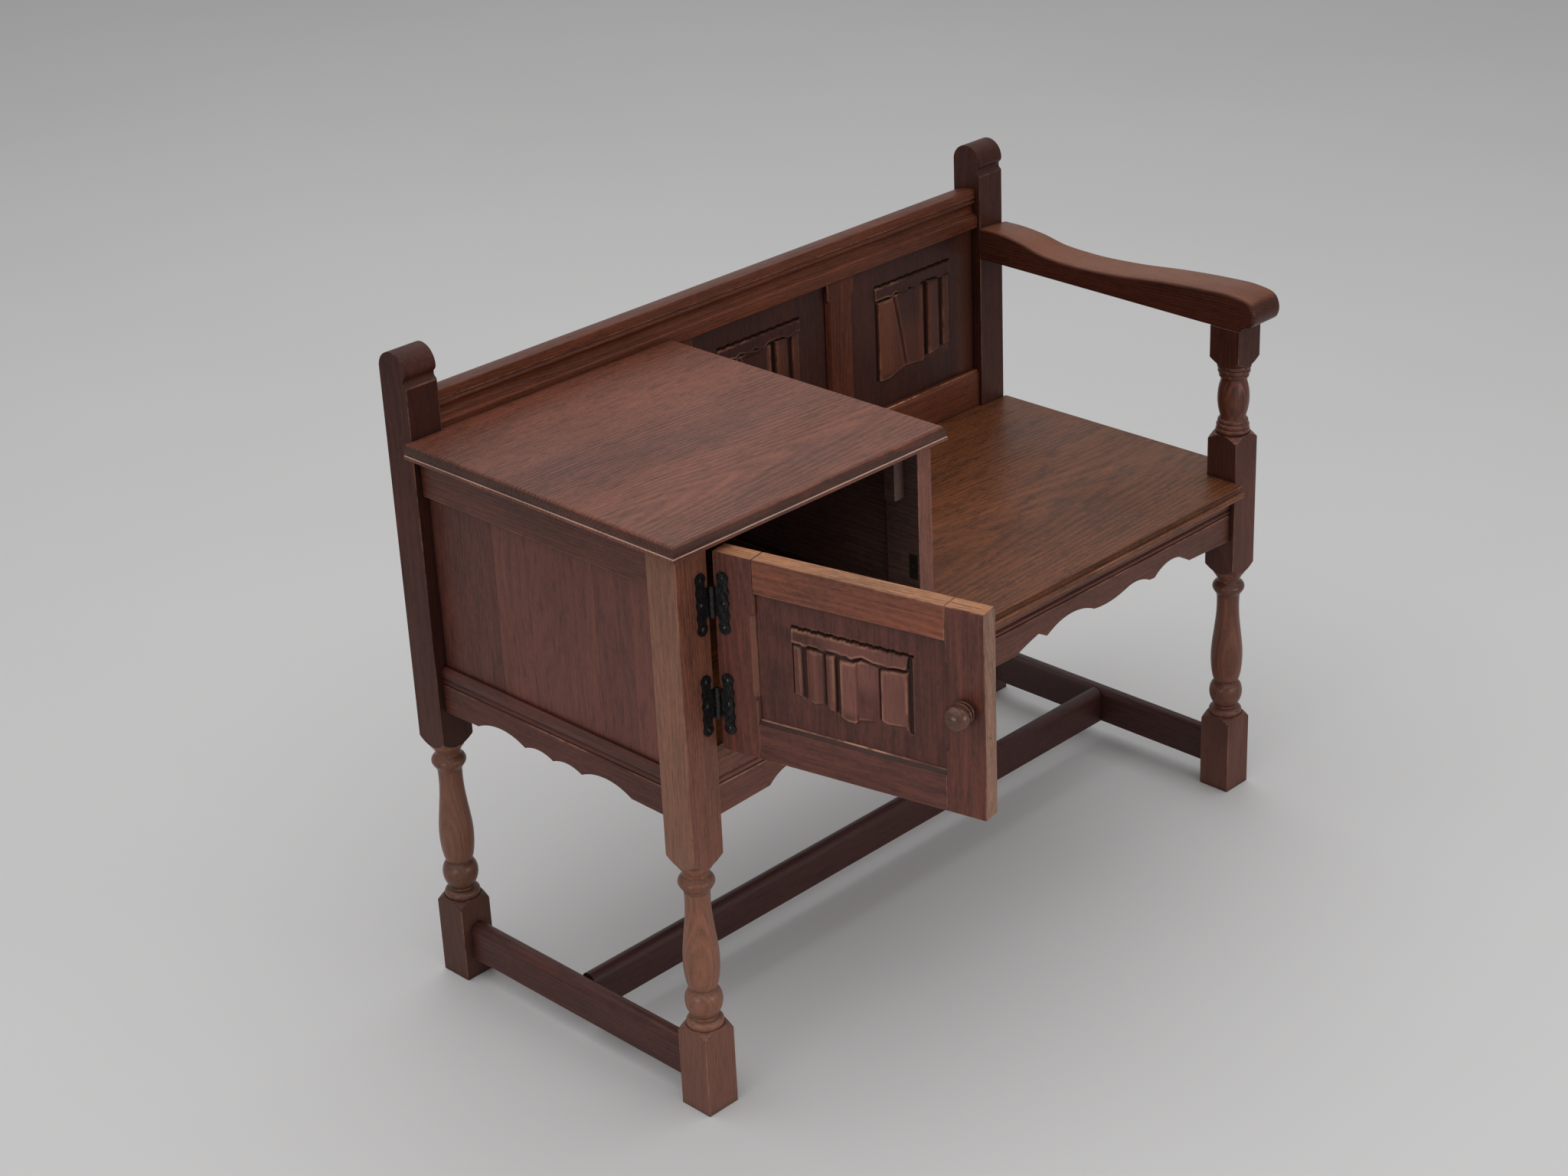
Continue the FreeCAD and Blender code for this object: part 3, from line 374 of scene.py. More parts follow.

# %% [markdown]
# ## One finish for each kind of piece
# The bench was stained in one go, but every board took the stain in its own way, so each kind of piece has
# its own
# finish, with the stain's middle tone as the eye reads it. Several of these tones are lit and shaded copies
# of one stain:
# the posts are nearly black and the right front leg, the right-hand turnings and the arm's sides dark, as
# painted shade, the front left leg is paler, as painted light, and the legs are painted paler near the floor
# for the light it throws up.

# %% Finishes of the frame
# Painted shade in the dark tones of post, leg_right, turned_dark and arm, and painted light in the paler tone
# of leg
IN_LEG = (0.9, 0.6)
oak("rail_x", "X", (86, 44, 28), (0.05, -0.12), 3.4, wear_and_highlight=0.9, shine=0.14)
oak("apron_x", "X", (96, 55, 43), (0.05, -0.12), 3.4)
oak("rail_y", "Y", (80, 42, 32), (0.06, -0.12), 3.4)
oak("apron_y", "Y", (72, 34, 25), (0.06, -0.12), 3.4)
oak("post", "Z", (62, 31, 24), IN_LEG, 3.2, low=(82, 56, 48), wear_and_highlight=0.3, shine=0.12)
oak("leg", "Z", (109, 65, 49), IN_LEG, 3.2, low=(99, 66, 56), wear_and_highlight=0.3, painted_light=(150, 118, 92))
oak("leg_right", "Z", (66, 34, 27), IN_LEG, 3.2, low=(116, 78, 68), wear_and_highlight=0.3, shine=0.12)
oak("turned", "Z", (113, 67, 49), IN_LEG, 3.6, wear_and_highlight=0.3, gloss=0.3, lines=0.4, blots=0.5, low=(128, 89, 71))
oak("turned_dark", "Z", (91, 49, 36), IN_LEG, 3.6, wear_and_highlight=0.3, gloss=0.28, lines=0.4, blots=0.5,
    low=(124, 81, 63))
oak("stretcher_x", "X", (55, 28, 25), (0.05, -0.3), 3.2)
oak("stretcher_y", "Y", (67, 34, 28), (0.05, -0.3), 3.2)
oak("stretcher_dark", "Y", (51, 26, 23), (0.05, -0.3), 3.2)
oak("muntin", "Z", (81, 41, 27), (0.2, 0.3), 3.0, wear_and_highlight=0.8, shine=0.12)
oak("stile", "Z", (107, 65, 53), (0.2, 0.3), 3.0)
oak("arm", "Y", (66, 33, 24), (0.3, 0.3), 3.4, gloss=0.31, lines=0.3, painted_light=(112, 67, 46), shine=0.15)
print(len(finishes), "finishes of the frame")

# %% Finishes of the boards and the door
OPEN = math.radians(78.5)
oak("seat", "X", (101, 58, 34), (0.06, 0.30), 4.6, gloss=0.34, lines=0.24, blots=0.7, slope=0.05)
# The top's pale light-grey tone for its lit lip is a painted highlight
oak("top", "X", (107, 61, 46), (0.0, 0.60), 5.0, lines=0.26, blots=0.55, painted_light=(186, 160, 146), slope=0.06)
oak("staves", "Z", (82, 45, 37), (0.1, 0.3), 3.0, boards="stave_tone", lines=0.1)
oak("panel", "Z", (55, 27, 21), (0.1, 0.3), 3.0, wear_and_highlight=0.35, painted_light=(101, 56, 38), shine=0.16)
oak("door_upright", "Z", (90, 48, 38), (0.2, 0.2), 3.2, turn=OPEN)
oak("door_panel", "Z", (80, 42, 34), (0.1, 0.3), 3.0, turn=OPEN, painted_light=(124, 78, 68))
oak("door_level", "X", (114, 64, 46), (0.2, 0.3), 3.6, turn=OPEN)
oak("door_bottom", "X", (88, 48, 39), (0.2, 0.3), 3.6, turn=OPEN, wear_and_highlight=1.0)
oak("raw_edge", "X", (157, 107, 74), (0.2, 0.3), 3.6, turn=OPEN, gloss=0.6)
oak("lock_edge", "Z", (123, 90, 74), (0.2, 0.3), 3.6, gloss=0.55)
oak("knob", "Y", (86, 50, 37), (0.3, 0.3), 3.0, gloss=0.2, shine=0.4)
# Painted shade: a greyer, duller finish for the shadowed inside of the cupboard and for hidden pieces
oak("inner", "Y", (84, 63, 57), (0.2, 0.3), 3.2, gloss=0.5)
print(len(finishes), "finishes of oak in all")

# %% [markdown]
# ## Easing the edges
# A joiner breaks every sharp edge with a stroke of the plane, and years of polishing round it further. The
# copy of a solid is merged and its flat faces made whole, then its long convex edges get a narrow round. The
# new faces carry the mark `arris`, which tells the stain where it has worn thin.

# %% Easing a copy of a solid
LEAST_EDGE = 8 * MM
ROOM = 2.6


def cut_level(mesh, height):
    everything = mesh.verts[:] + mesh.edges[:] + mesh.faces[:]
    bmesh.ops.bisect_plane(mesh, geom=everything, plane_co=(0, 0, height), plane_no=(0, 0, 1))


def wide_enough(edge, face, width):
    a, b = (v.co for v in edge.verts)
    line = (b - a).normalized()
    return max(((v.co - a) - (v.co - a).dot(line) * line).length for v in face.verts) > ROOM * width


def eased_mesh(node, width, least, cuts=()):
    """A solid's mesh with its edges eased. Edges sharper than least degrees get a round of that width, and
    cuts are heights at which its faces are divided."""
    mesh = bmesh.new()
    mesh.from_mesh(nodes[node].data)
    bmesh.ops.remove_doubles(mesh, verts=mesh.verts, dist=2e-6)
    bmesh.ops.dissolve_limit(mesh, angle_limit=math.radians(0.5), verts=mesh.verts, edges=mesh.edges)
    mark = mesh.faces.layers.float.new("arris")
    chosen = [edge for edge in mesh.edges
              if len(edge.link_faces) == 2 and edge.is_convex and edge.calc_length() > LEAST_EDGE
              and edge.calc_face_angle() > math.radians(least)
              and all(wide_enough(edge, face, width) for face in edge.link_faces)]
    if chosen:
        made = bmesh.ops.bevel(mesh, geom=chosen, offset=width, offset_type="OFFSET", segments=3, profile=0.5,
                               affect="EDGES", clamp_overlap=False)
        for face in made["faces"]:
            face[mark] = 1.0
    for height in cuts:
        cut_level(mesh, height)
    data = bpy.data.meshes.new(node + "_eased")
    mesh.to_mesh(data)
    mesh.free()
    return data


print("the round on a sharp edge is cut in three facets")

# %% Placing a piece
def baked(holder):
    """What an object's modifiers make of its mesh, as a plain mesh."""
    return bpy.data.meshes.new_from_object(holder.evaluated_get(bpy.context.evaluated_depsgraph_get()))


def place_piece(name, data, body, materials, slot, *stands_for):
    """Places a mesh, shaded smoothly within its creases and flat on its flat faces."""
    piece = bpy.data.objects.new(name, data)
    scene.collection.objects.link(piece)
    for material in materials:
        piece.data.materials.append(material)
    piece.data.shade_smooth()
    piece.data.set_sharp_from_angle(angle=math.radians(36))
    piece.modifiers.new("flat_faces", "WEIGHTED_NORMAL").keep_sharp = True
    plain = baked(piece)
    piece.modifiers.clear()
    piece.data = plain
    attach(piece, body)
    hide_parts(*stands_for)
    return piece


def room_left(data, node):
    """How many mm a mesh stays inside its solid's box, at its low and at its high corner."""
    low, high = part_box(node)
    points = np.array([v.co for v in data.vertices])
    return (points.min(0) - np.array(low)) / MM, (np.array(high) - points.max(0)) / MM


def ease(node, finish, body="frame", width=0.9, least=50, slot="stained_oak", extra=(), cuts=(), change=None):
    """Places an eased copy of a node's solid. width is in mm, extra finishes come after the first, and change
    works on the mesh first."""
    data = eased_mesh(node, width * MM, least, cuts)
    if change:
        change(data)
    assert min(side.min() for side in room_left(data, node)) > -0.02, node
    names = (finish, *extra)
    return place_piece(node + "_wood", data, body, [finishes[key] for key in names], slot, node)


def tell(piece, node):
    low, high = (side.round(1).tolist() for side in room_left(piece.data, node))
    print(node, len(piece.data.polygons), "faces, inside its solid's box by mm", low, high)


print("a piece is eased, placed and told about")

# %% [markdown]
# ## Rails, boards and uprights
# The frame is made of straight pieces whose solids already have their mouldings, so all they need is the
# easing and a finish. The moulded ones get a narrower round, because their curves are cut close together.

# %% Easing the frame
MOULDED = ("seat_board", "cabinet_top", "back_crest_rail")
WORN_LIP = 0.0014
rail_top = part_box("back_bottom_rail")[1].z
eased = {}
for node, finish in (
    ("front_apron", "apron_x"), ("rear_seat_rail", "rail_x"), ("back_crest_rail", "rail_x"),
    ("back_bottom_rail", "rail_x"), ("left_apron", "apron_y"), ("right_apron", "apron_y"),
    ("cabinet_left_top_rail", "rail_y"), ("left_stretcher", "stretcher_y"),
    ("right_stretcher", "stretcher_dark"), ("centre_stretcher", "stretcher_x"), ("seat_board", "seat"),
    ("cabinet_top", "top"), ("back_muntin_left", "muntin"), ("back_muntin_right", "muntin"),
    ("partition_front_stile", "stile"), ("partition_rear_stile", "muntin"), ("partition_top_rail", "rail_y"),
    ("partition_bottom_rail", "rail_y"), ("partition_panel", "panel"), ("back_panel_plain", "panel"),
):
    moulded = node in MOULDED
    eased[node] = ease(node, finish, width=0.7 if moulded else 0.9, least=34 if moulded else 50,
                       extra=("inner",), cuts=[rail_top - WORN_LIP] if node == "back_bottom_rail" else ())
print("eased", len(eased), "pieces")

# %% [markdown]
# ## Where hands have worn the stain, and where light and shade are painted
# Hands wear the stain off the edges. The stain also reads marks written on the faces that a rule picks out:
# the hollow of a moulding is painted with shade and its lip with a painted highlight, and faces that stand in
# shade get painted shade.
# The faces that look into the cupboard take a duller finish whose colour is painted shade for its dark
# inside.

# %% Marks on the frame
BROAD, UNDER_BEAD, ABOVE_ALL = 0.001, 372 * MM, 1.0


def mark(node, layer, amount, low, high, wanted=lambda face: True):
    """Writes amount on an eased piece's faces between two heights, where they are wanted."""
    data = eased[node].data
    attribute = data.attributes.get(layer) or data.attributes.new(layer, "FLOAT", "FACE")
    values = [amount if low < face.center.z < high and wanted(face) else old.value
              for face, old in zip(data.polygons, attribute.data)]
    attribute.data.foreach_set("value", values)
    print(node, "has", sum(value > 0 for value in values), "faces marked", layer)


def broad_side(axis):
    """A rule for faces over BROAD square metres that look to the left, axis 0, or to the front, axis 1."""
    return lambda face: face.normal[axis] < -0.9 and face.area > BROAD


board_low, board_high = (corner.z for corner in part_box("cabinet_top"))
hollow = board_low + 5.2 * MM
# Painted shade in the hollow of the top's moulded edge, and a painted highlight on the lip below it
mark("cabinet_top", "painted_shade", 0.75, hollow, board_high - 2.3 * MM, lambda face: abs(face.normal.z) < 0.9)
mark("cabinet_top", "painted_light", 1.0, board_low + 2.5 * MM, hollow, lambda face: face.normal.z > 0.2)
mark("back_bottom_rail", "arris", 1.0, rail_top - WORN_LIP, rail_top - 0.1 * MM,
     lambda face: 0.3 < face.normal.z < 0.95)
# Painted shade on the apron's front below the bead
mark("front_apron", "painted_shade", 0.28, 0, UNDER_BEAD, broad_side(1))
# Faces that look into the cupboard take the finish whose colour is painted shade
for node in ("partition_panel", "partition_front_stile", "partition_rear_stile", "partition_top_rail",
             "partition_bottom_rail", "back_panel_plain"):
    inside = Vector((0, -1, 0) if node == "back_panel_plain" else (-1, 0, 0))
    for face in eased[node].data.polygons:
        face.material_index = 1 if face.normal.dot(inside) > 0.9 else 0
print("the cupboard is dry inside")

# %% [markdown]
# ## Turning the legs
# The legs' turned parts are alike: a foot ring, a ball, a long vase and a collar. The radius at every height
# is a smooth line through the points of its outline, and the part is set into each leg in fine rings. That
# follows the lathe's curves more closely than a few arcs can.

# %% The outline of the turning
TURNED = (
    (99.2, 19.3), (100.5, 19.6), (103, 19.6), (105, 18.6), (106.6, 16.3), (107.7, 13.8), (109.6, 13.3),
    (110.9, 14), (112.7, 15.5), (115.5, 17), (119, 18.4), (123.5, 19.5), (127.5, 19.8), (131.5, 19.4),
    (135, 18.5), (138.2, 16.9), (140.4, 14.8), (141.6, 13.8), (143, 14.6), (146, 15.8), (150, 16.8),
    (155, 17.7), (160, 18.3), (166, 18.8), (173, 19.05), (180, 19), (187, 18.6), (194, 17.9), (201, 17.1),
    (208, 16.2), (215, 15.4), (222, 14.6), (230, 13.9), (238, 13.45), (246, 13.3), (252, 13.4),
    (255.5, 13.6), (258.5, 14.4), (261.5, 16.3), (264.5, 18.2), (267.5, 19.1), (270.5, 18.5), (273, 16.9),
    (275, 14.8), (277, 13.6), (280, 14.2), (283, 15.7), (286.5, 17.4),
)


def through(points, steps=8):
    """A smooth line through the points: each span bends by its neighbours' directions."""
    padded = [2 * points[0] - points[1], *points, 2 * points[-1] - points[-2]]
    line = []
    for a, b, c, d in zip(padded, padded[1:], padded[2:], padded[3:]):
        before, here, after = (max((q - p).length, 1e-6) ** 0.5 for p, q in ((a, b), (b, c), (c, d)))
        enter = (c - b) - (c - a) * (here / (before + here)) + (b - a) * (here / before)
        leave = (c - b) - (d - b) * (here / (here + after)) + (d - c) * (here / after)
        for step in range(steps):
            t = step / steps
            line.append(b * (2 * t ** 3 - 3 * t ** 2 + 1) + c * (3 * t ** 2 - 2 * t ** 3)
                        + enter * (t ** 3 - 2 * t ** 2 + t) + leave * (t ** 3 - t ** 2))
    return line + [points[-1]]


print(len(TURNED), "points of the outline, widest", max(radius for height, radius in TURNED), "mm")

# %% Setting the turning into a leg
FOOT_REACH = 19.3 * MM
NEAR_FOOT = (98.4 * MM, 99.3 * MM)
NEAR_BLOCK = (286.9 * MM, 287.1 * MM, 290.6 * MM)
BLOCK_REACH, LOWER_SHARE, UPPER_SHARE = 19.5 * MM, 0.905, 0.945


def meet(mesh, x, y):
    """Draws the leg's own rims, below and above the turning, to the radius of the rings beside them."""
    for v in mesh.verts:
        reach, share = math.hypot(v.co.x - x, v.co.y - y), 1.0
        if NEAR_FOOT[0] < v.co.z < NEAR_FOOT[1] and reach < FOOT_REACH - 0.1 * MM:
            share = FOOT_REACH / reach
        elif NEAR_BLOCK[0] < v.co.z < NEAR_BLOCK[2] and reach > BLOCK_REACH:
            share = LOWER_SHARE if v.co.z < NEAR_BLOCK[1] else UPPER_SHARE
        v.co.x, v.co.y = x + (v.co.x - x) * share, y + (v.co.y - y) * share


def set_turning(data, x, y):
    """Takes out a leg's plain turning and sets in fine rings that follow the outline, in place."""
    mesh = bmesh.new()
    mesh.from_mesh(data)
    low, high = TURNED[0][0] * MM, TURNED[-1][0] * MM
    for height in (low, high):
        cut_level(mesh, height)
    middle = [face for face in mesh.faces if low < face.calc_center_median().z < high]
    bmesh.ops.delete(mesh, geom=middle, context="FACES")

    def rim(height):
        points = [v for v in mesh.verts if v.is_boundary and abs(v.co.z - height) < 1e-6]
        return sorted(points, key=lambda v: math.atan2(v.co.y - y, v.co.x - x))

    ring, last = rim(low), rim(high)
    angles = [math.atan2(v.co.y - y, v.co.x - x) for v in ring]
    for point in through([Vector((height, radius)) for height, radius in TURNED], steps=3)[1:-1]:
        height, radius = point * MM
        above = [mesh.verts.new((x + radius * math.cos(a), y + radius * math.sin(a), height)) for a in angles]
        for k in range(len(ring)):
            mesh.faces.new((ring[k - 1], ring[k], above[k], above[k - 1]))
        ring = above
    sides = [mesh.edges.get((loop[k - 1], loop[k])) for loop in (ring, last) for k in range(len(loop))]
    bmesh.ops.bridge_loops(mesh, edges=sides)
    meet(mesh, x, y)
    bmesh.ops.recalc_face_normals(mesh, faces=mesh.faces)
    assert all(edge.is_manifold for edge in mesh.edges) and mesh.calc_volume() > 0
    mesh.to_mesh(data)
    mesh.free()


print("the turning runs from", TURNED[0][0], "to", TURNED[-1][0], "mm above the floor")

# %% Legs with their turned parts
LATHE_REACH, CORNER_REACH = 20.2 * MM, 28.5 * MM
ZONES = (98.2, 141.6, 256.0, 277.0, 286.5)
# Each leg's finishes, how high the lathe went, and the painted shade on ball, vase, collar and neck
LEGS = (
    ("rear_left_post", "post", "turned", 0.33, (0.6, 0.35, 0.45, 0.35)),
    ("rear_right_post", "post", "turned_dark", 0.33, (0.3, 0.05, 0.3, 0.05)),
    ("front_left_leg", "leg", "turned", 0.33, (0.12, 0.0, 0.35, 0.0)),
    ("front_right_leg", "leg_right", "turned_dark", 1.0, (0.2, 0.0, 0.3, 0.0)),
)


def mark_turned(piece, x, y, up_to):
    """Faces that the lathe cut take the second finish: those near the axis, and those that slope."""
    for face in piece.data.polygons:
        if not TURNED[0][0] * MM - 0.8 * MM < face.center.z < up_to:
            continue
        reach, tilt = math.hypot(face.center.x - x, face.center.y - y), abs(face.normal.z)
        if tilt < 0.999 and (reach < LATHE_REACH or (tilt > 0.001 and reach < CORNER_REACH)):
            face.material_index = 1


for node, finish, lathe, up_to, zone_shade in LEGS:
    low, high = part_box(node)
    x, y = (low.x + high.x) / 2, (low.y + high.y) / 2
    eased[node] = ease(node, finish, extra=(lathe,), change=lambda data: set_turning(data, x, y))
    mark_turned(eased[node], x, y, up_to)
    tell(eased[node], node)
    for amount, start, end in zip(zone_shade, ZONES, ZONES[1:]):
        mark(node, "painted_shade", amount, start * MM, end * MM)

# %% Light and dark sides of the square blocks
BLOCK_FROM, BLOCK_TO = 300 * MM, 450 * MM
# Painted light on the front left leg's left faces, and painted shade on the right front leg's left faces and
# the rear left post's front faces
mark("front_left_leg", "painted_light", 0.22, BLOCK_FROM, ABOVE_ALL, lambda face: face.normal.x < -0.9)
mark("front_right_leg", "painted_shade", 0.32, 0, BLOCK_TO, broad_side(0))
mark("rear_left_post", "painted_shade", 0.45, BLOCK_FROM, ABOVE_ALL, broad_side(1))

# %% [markdown]
# ## The door's frame
# The door was hung after it was stained, so its upper edge and its lock edge, which the hand never polished,
# are paler and drier than its face. They are the faces that look up, and outwards on the lock side.

# %% Door frame
ALONG_DOOR = Vector((math.cos(OPEN), -math.sin(OPEN), 0))
BEFORE_DOOR = Vector((-math.sin(OPEN), -math.cos(OPEN), 0))
EDGE_LIP, BEVEL, MORE_THAN_A_FACET = 0.0013, 0.0046, 5e-5


def pale_edges(piece):
    """Upward faces at the top take the second finish, and those on the lock side the third."""
    top = max(v.co.z for v in piece.data.vertices)
    far = max(v.co.dot(ALONG_DOOR) for v in piece.data.vertices)
    for face in piece.data.polygons:
        if face.normal.z > 0.99 and face.center.z > top - 0.5 * MM:
            face.material_index = 1
        elif face.normal.dot(ALONG_DOOR) > 0.99 and face.center.dot(ALONG_DOOR) > far - 0.5 * MM:
            face.material_index = 2


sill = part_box("door_bottom_rail")[1].z
for node, finish in (("door_hinge_stile", "door_upright"), ("door_lock_stile", "door_upright"),
                     ("door_top_rail", "door_level"), ("door_bottom_rail", "door_bottom")):
    lowest = node == "door_bottom_rail"
    eased[node] = ease(node, finish, body="door", extra=("raw_edge", "lock_edge"),
                       cuts=[sill - EDGE_LIP] if lowest else ())
    if not lowest:
        pale_edges(eased[node])


def slopes(face):
    return 0.4 < face.normal.z < 0.9


def on_corner(face):
    looks = min(face.normal.dot(ALONG_DOOR), face.normal.dot(BEFORE_DOOR))
    return looks > 0.4 and face.area > MORE_THAN_A_FACET


# Painted shade on the bottom rail's bevel, and a painted highlight along its upper edge
mark("door_bottom_rail", "painted_shade", 0.8, sill - BEVEL, sill - EDGE_LIP, slopes)
mark("door_bottom_rail", "arris", 1.0, sill - EDGE_LIP, ABOVE_ALL, slopes)
# A painted highlight on the hinge stile's chamfer
mark("door_hinge_stile", "painted_light", 0.5, 0, ABOVE_ALL, on_corner)

# %% [markdown]
# ## Linenfold
# The panels of the door and the back are carved as a cloth hanging in upright folds under a straight hem.
# A carver cuts it with gouges from the solid board and leaves the folds standing a few millimetres proud of
# the ground. Each fold has its own height, its own slope, and its own cut at the foot. That makes it a height
# over every point of the field, so the panel is a fine grid whose points are pushed forward by that height.

# %% Heights from folds
def smooth(values, low, high):
    share = np.clip((values - low) / (high - low), 0, 1)
    return share * share * (3 - 2 * share)


def table(places, pairs):
    return np.interp(places, *zip(*pairs))


def carve(across, up, profile, feet, tops, lobes, low, high, proud):
    """Height in mm over a field: folds with their own feet and tops, and the flat hem above them. All tables
    hold (place along the width, value)."""
    rise, foot, top, edge = (table(across, pairs) for pairs in (profile, feet, tops, lobes))
    ends = smooth(up, top - 5.0, top - 1.0)
    fold = (rise * (1 - ends) - 1.6 * ends) * smooth(up, foot - 0.3, foot + 1.4)
    edge = edge + low
    band = proud + 0.9 * np.exp(-((up - edge - 1.0) / 0.9) ** 2)
    line = high + 0.6 + 0.5 * np.sin(across * 0.47) + 0.3 * np.sin(across * 1.3 + 1.0)
    hem = band * smooth(up, edge - 0.2, edge + 0.5) * (1 - smooth(up, line - 1.6, line))
    return np.where(up < edge, fold, hem) - 2.4 * np.exp(-((up - line) / 1.3) ** 2)


print("a fold is a table of heights across the field")

# %% The door's folds
def door_height(across, up):
    profile = [(-1, 0), (0, -1.4), (1.2, 0.9), (7, 1.1), (9, 0.3), (11, -2.2), (13.5, -2), (16, 0.8),
        (20, 2.3), (25, 3), (28, 2.3), (33, 1), (35.5, -1.4), (37.5, 0.9), (42, 2), (46, 1.6), (48, -2.2),
        (51.5, -2.3), (53, 1.9), (55, 2.6), (63, 2.9), (70, 2.6), (71.8, 1.4), (73.5, 2.2), (83, 1.7),
        (91, 0.7), (94.5, 0), (96.2, -1.8), (97.8, 1.6), (100, 2.3), (110, 2.8), (120, 2.4), (126, 1.9),
        (128, -1.6), (129, -2.2), (130.2, -2), (131.6, -0.2)]
    feet = [(0, 12.5), (9, 11.5), (17, 9), (25, 8), (33, 9.5), (40, 5.5), (49, 4), (53, 1.5), (60, -1.5),
        (69, -2), (74, 3), (90, 5), (96, 8), (98, 8.5), (104, 6.5), (115, 7.5), (124, 8), (127, 2)]
    tops = [(0, 68), (14, 67.5), (18, 68), (30, 68), (35, 67), (47, 67.5), (53, 65), (68, 65.5), (76, 70),
        (90, 68), (97, 65), (110, 68), (122, 68), (127, 69), (128.2, 90)]
    lobes = [(9, 2), (15, 0), (19, 2.6), (28, 2.4), (34, 0.2), (39, 2.4), (49, 2.6), (56, 0.8), (60, 1.8),
        (66, -0.8), (71, 2.2), (78, 4.4), (90, 1.2), (98, 1.5), (106, 0.2), (112, 2), (124, 2.6), (126, 3),
        (128.2, 18)]
    return carve(across, up, profile, feet, tops, lobes, 66, 83, 1.6)


# Painted light on the lit faces of the folds and on the hem
def door_painted_light(across, up):
    tints = [(0, 0), (1, 0.1), (9, 0.1), (11, 0), (16, 0.25), (25, 0.4), (33, 0.15), (36, 0), (39, 0.3),
        (46, 0.3), (49, 0), (53, 0.1), (55, 0.85), (70, 0.8), (73, 0.7), (93, 0.5), (96, 0), (99, 0.85),
        (124, 0.8), (127, 0)]
    fading = 1 - 0.85 * smooth(across, 71, 75) * (1 - smooth(across, 93, 96)) * (1 - smooth(up, 24, 48))
    cloth = table(across, tints) * fading * smooth(up, 0, 14) * (1 - smooth(up, 60, 66))
    hem = 0.55 * smooth(up, 66, 69) * (1 - smooth(up, 79, 82))
    return cloth + hem * smooth(across, 10, 60) * (1 - smooth(across, 126, 128))


print("highest fold", round(float(door_height(np.arange(0, 132, 0.5), np.full(264, 30.0)).max()), 2), "mm")

# %% The folds of the back
def back_height(across, up):
    cut = 27 + 25 * np.clip((112 - up) / 112, 0, 1) ** 0.8
    profile = [(-1, 0), (0, -2), (2.5, -1.8), (4.5, 1.6), (8, 2.3), (22, 2.6), (76, 2.2), (81, 3), (82.5, 2),
        (84.5, -2.2), (89, -2.3), (91.5, 2), (94, 3), (100, 2.6), (110, 1.6), (113, -1.8), (116.5, -1.9),
        (119, 1.2), (123, 1.9), (129, 1.7), (131, -0.6), (132, -0.1)]
    feet = [(20, -1), (33, 3), (44, 6), (60, 5.5), (78, 4), (84, 8), (92, 8.5), (100, 10), (112, 11),
        (124, 14), (132, 15)]
    tops = [(24, 103), (33, 106), (84, 106), (92, 107), (112, 106), (132, 107)]
    lobes = [(20, 0), (27, -1.5), (34, 2.2), (42, 0), (52, -2), (58, 2), (66, -1.5), (72, -2.2), (80, 2.4),
        (88, 3), (104, 2), (112, -2), (118, 0), (132, 2)]
    valley = 2.4 * np.exp(-((across - cut) / 2.2) ** 2)
    valley = valley + 1.4 * smooth(across, cut, cut + 8) * (1 - smooth(across, 50, 78))
    sheet = carve(across, up, profile, feet, tops, lobes, 103, 119, 1.4)
    ticks = 0.9 * np.exp(-(((across % 14.5) - 7) / 4) ** 2 - ((up - 118.2) / 1.1) ** 2)
    return sheet - valley * smooth(up, 2, 12) * (1 - smooth(up, 96, 103)) + ticks * (np.abs(across - 66) < 64)


# Painted light on the lit faces of the folds
def back_painted_light(across, up):
    tints = [(3, 0), (5, 0.85), (20, 0.9), (32, 0.6), (38, 0.5), (55, 0.5), (72, 0.35), (76, 0.7), (82, 0.7),
        (84, 0), (90, 0), (92, 0.65), (100, 0.4), (111, 0.1), (113, 0), (118, 0), (120, 0.45), (129, 0.3),
        (131, 0)]
    fading = 1 - 0.85 * smooth(across, 34, 42) * (1 - smooth(across, 74, 78)) * smooth(up, 40, 82)
    return table(across, tints) * fading * smooth(up, 0, 10) * (1 - smooth(up, 96, 102))


# Painted light, with more of it towards the right end, where the panel falls in shade
def right_painted_light(across, up):
    return back_painted_light(across, up) + 0.45 * smooth(across, 134, 158)


print("highest fold", round(float(back_height(np.arange(0, 132, 0.5), np.full(264, 30.0)).max()), 2), "mm")

# %% A carved panel as a grid
FIELD = 132.0
HIGHEST = 3.4
SHIFT = Vector((0.25, 146.1629, 0.0)) * MM
PIN = Vector((-419.75, -71.5371, 0.0)) * MM
SWING = Matrix.Translation(PIN) @ Matrix.Rotation(-OPEN, 4, "Z") @ Matrix.Translation(-PIN)


def lines(start, end, low, high, fine=0.6, coarse=9.0):
    """Grid lines from start to end in mm: close together between low and high, and wide apart outside."""
    before = np.linspace(start, low, max(2, int((low - start) / coarse) + 1))
    inside = np.linspace(low, high, int((high - low) / fine) + 1)
    after = np.linspace(high, end, max(2, int((end - high) / coarse) + 1))
    return np.concatenate([before[:-1], inside, after[1:]])


def grid_faces(rows, count):
    """Faces of a grid's front, of its sides and of its back, and the points round its rim."""
    grid = np.arange(rows * count).reshape(rows, count)
    front = np.stack([grid[:-1, :-1], grid[:-1, 1:], grid[1:, 1:], grid[1:, :-1]], -1).reshape(-1, 4)
    rim = np.concatenate([grid[0], grid[1:, -1], grid[-1, -2::-1], grid[-2:0:-1, 0]]).tolist()
    behind = list(range(rows * count, rows * count + len(rim)))
    sides = [(rim[i - 1], behind[i - 1], behind[i], rim[i]) for i in range(len(rim))]
    return front.tolist() + sides + [behind], rim


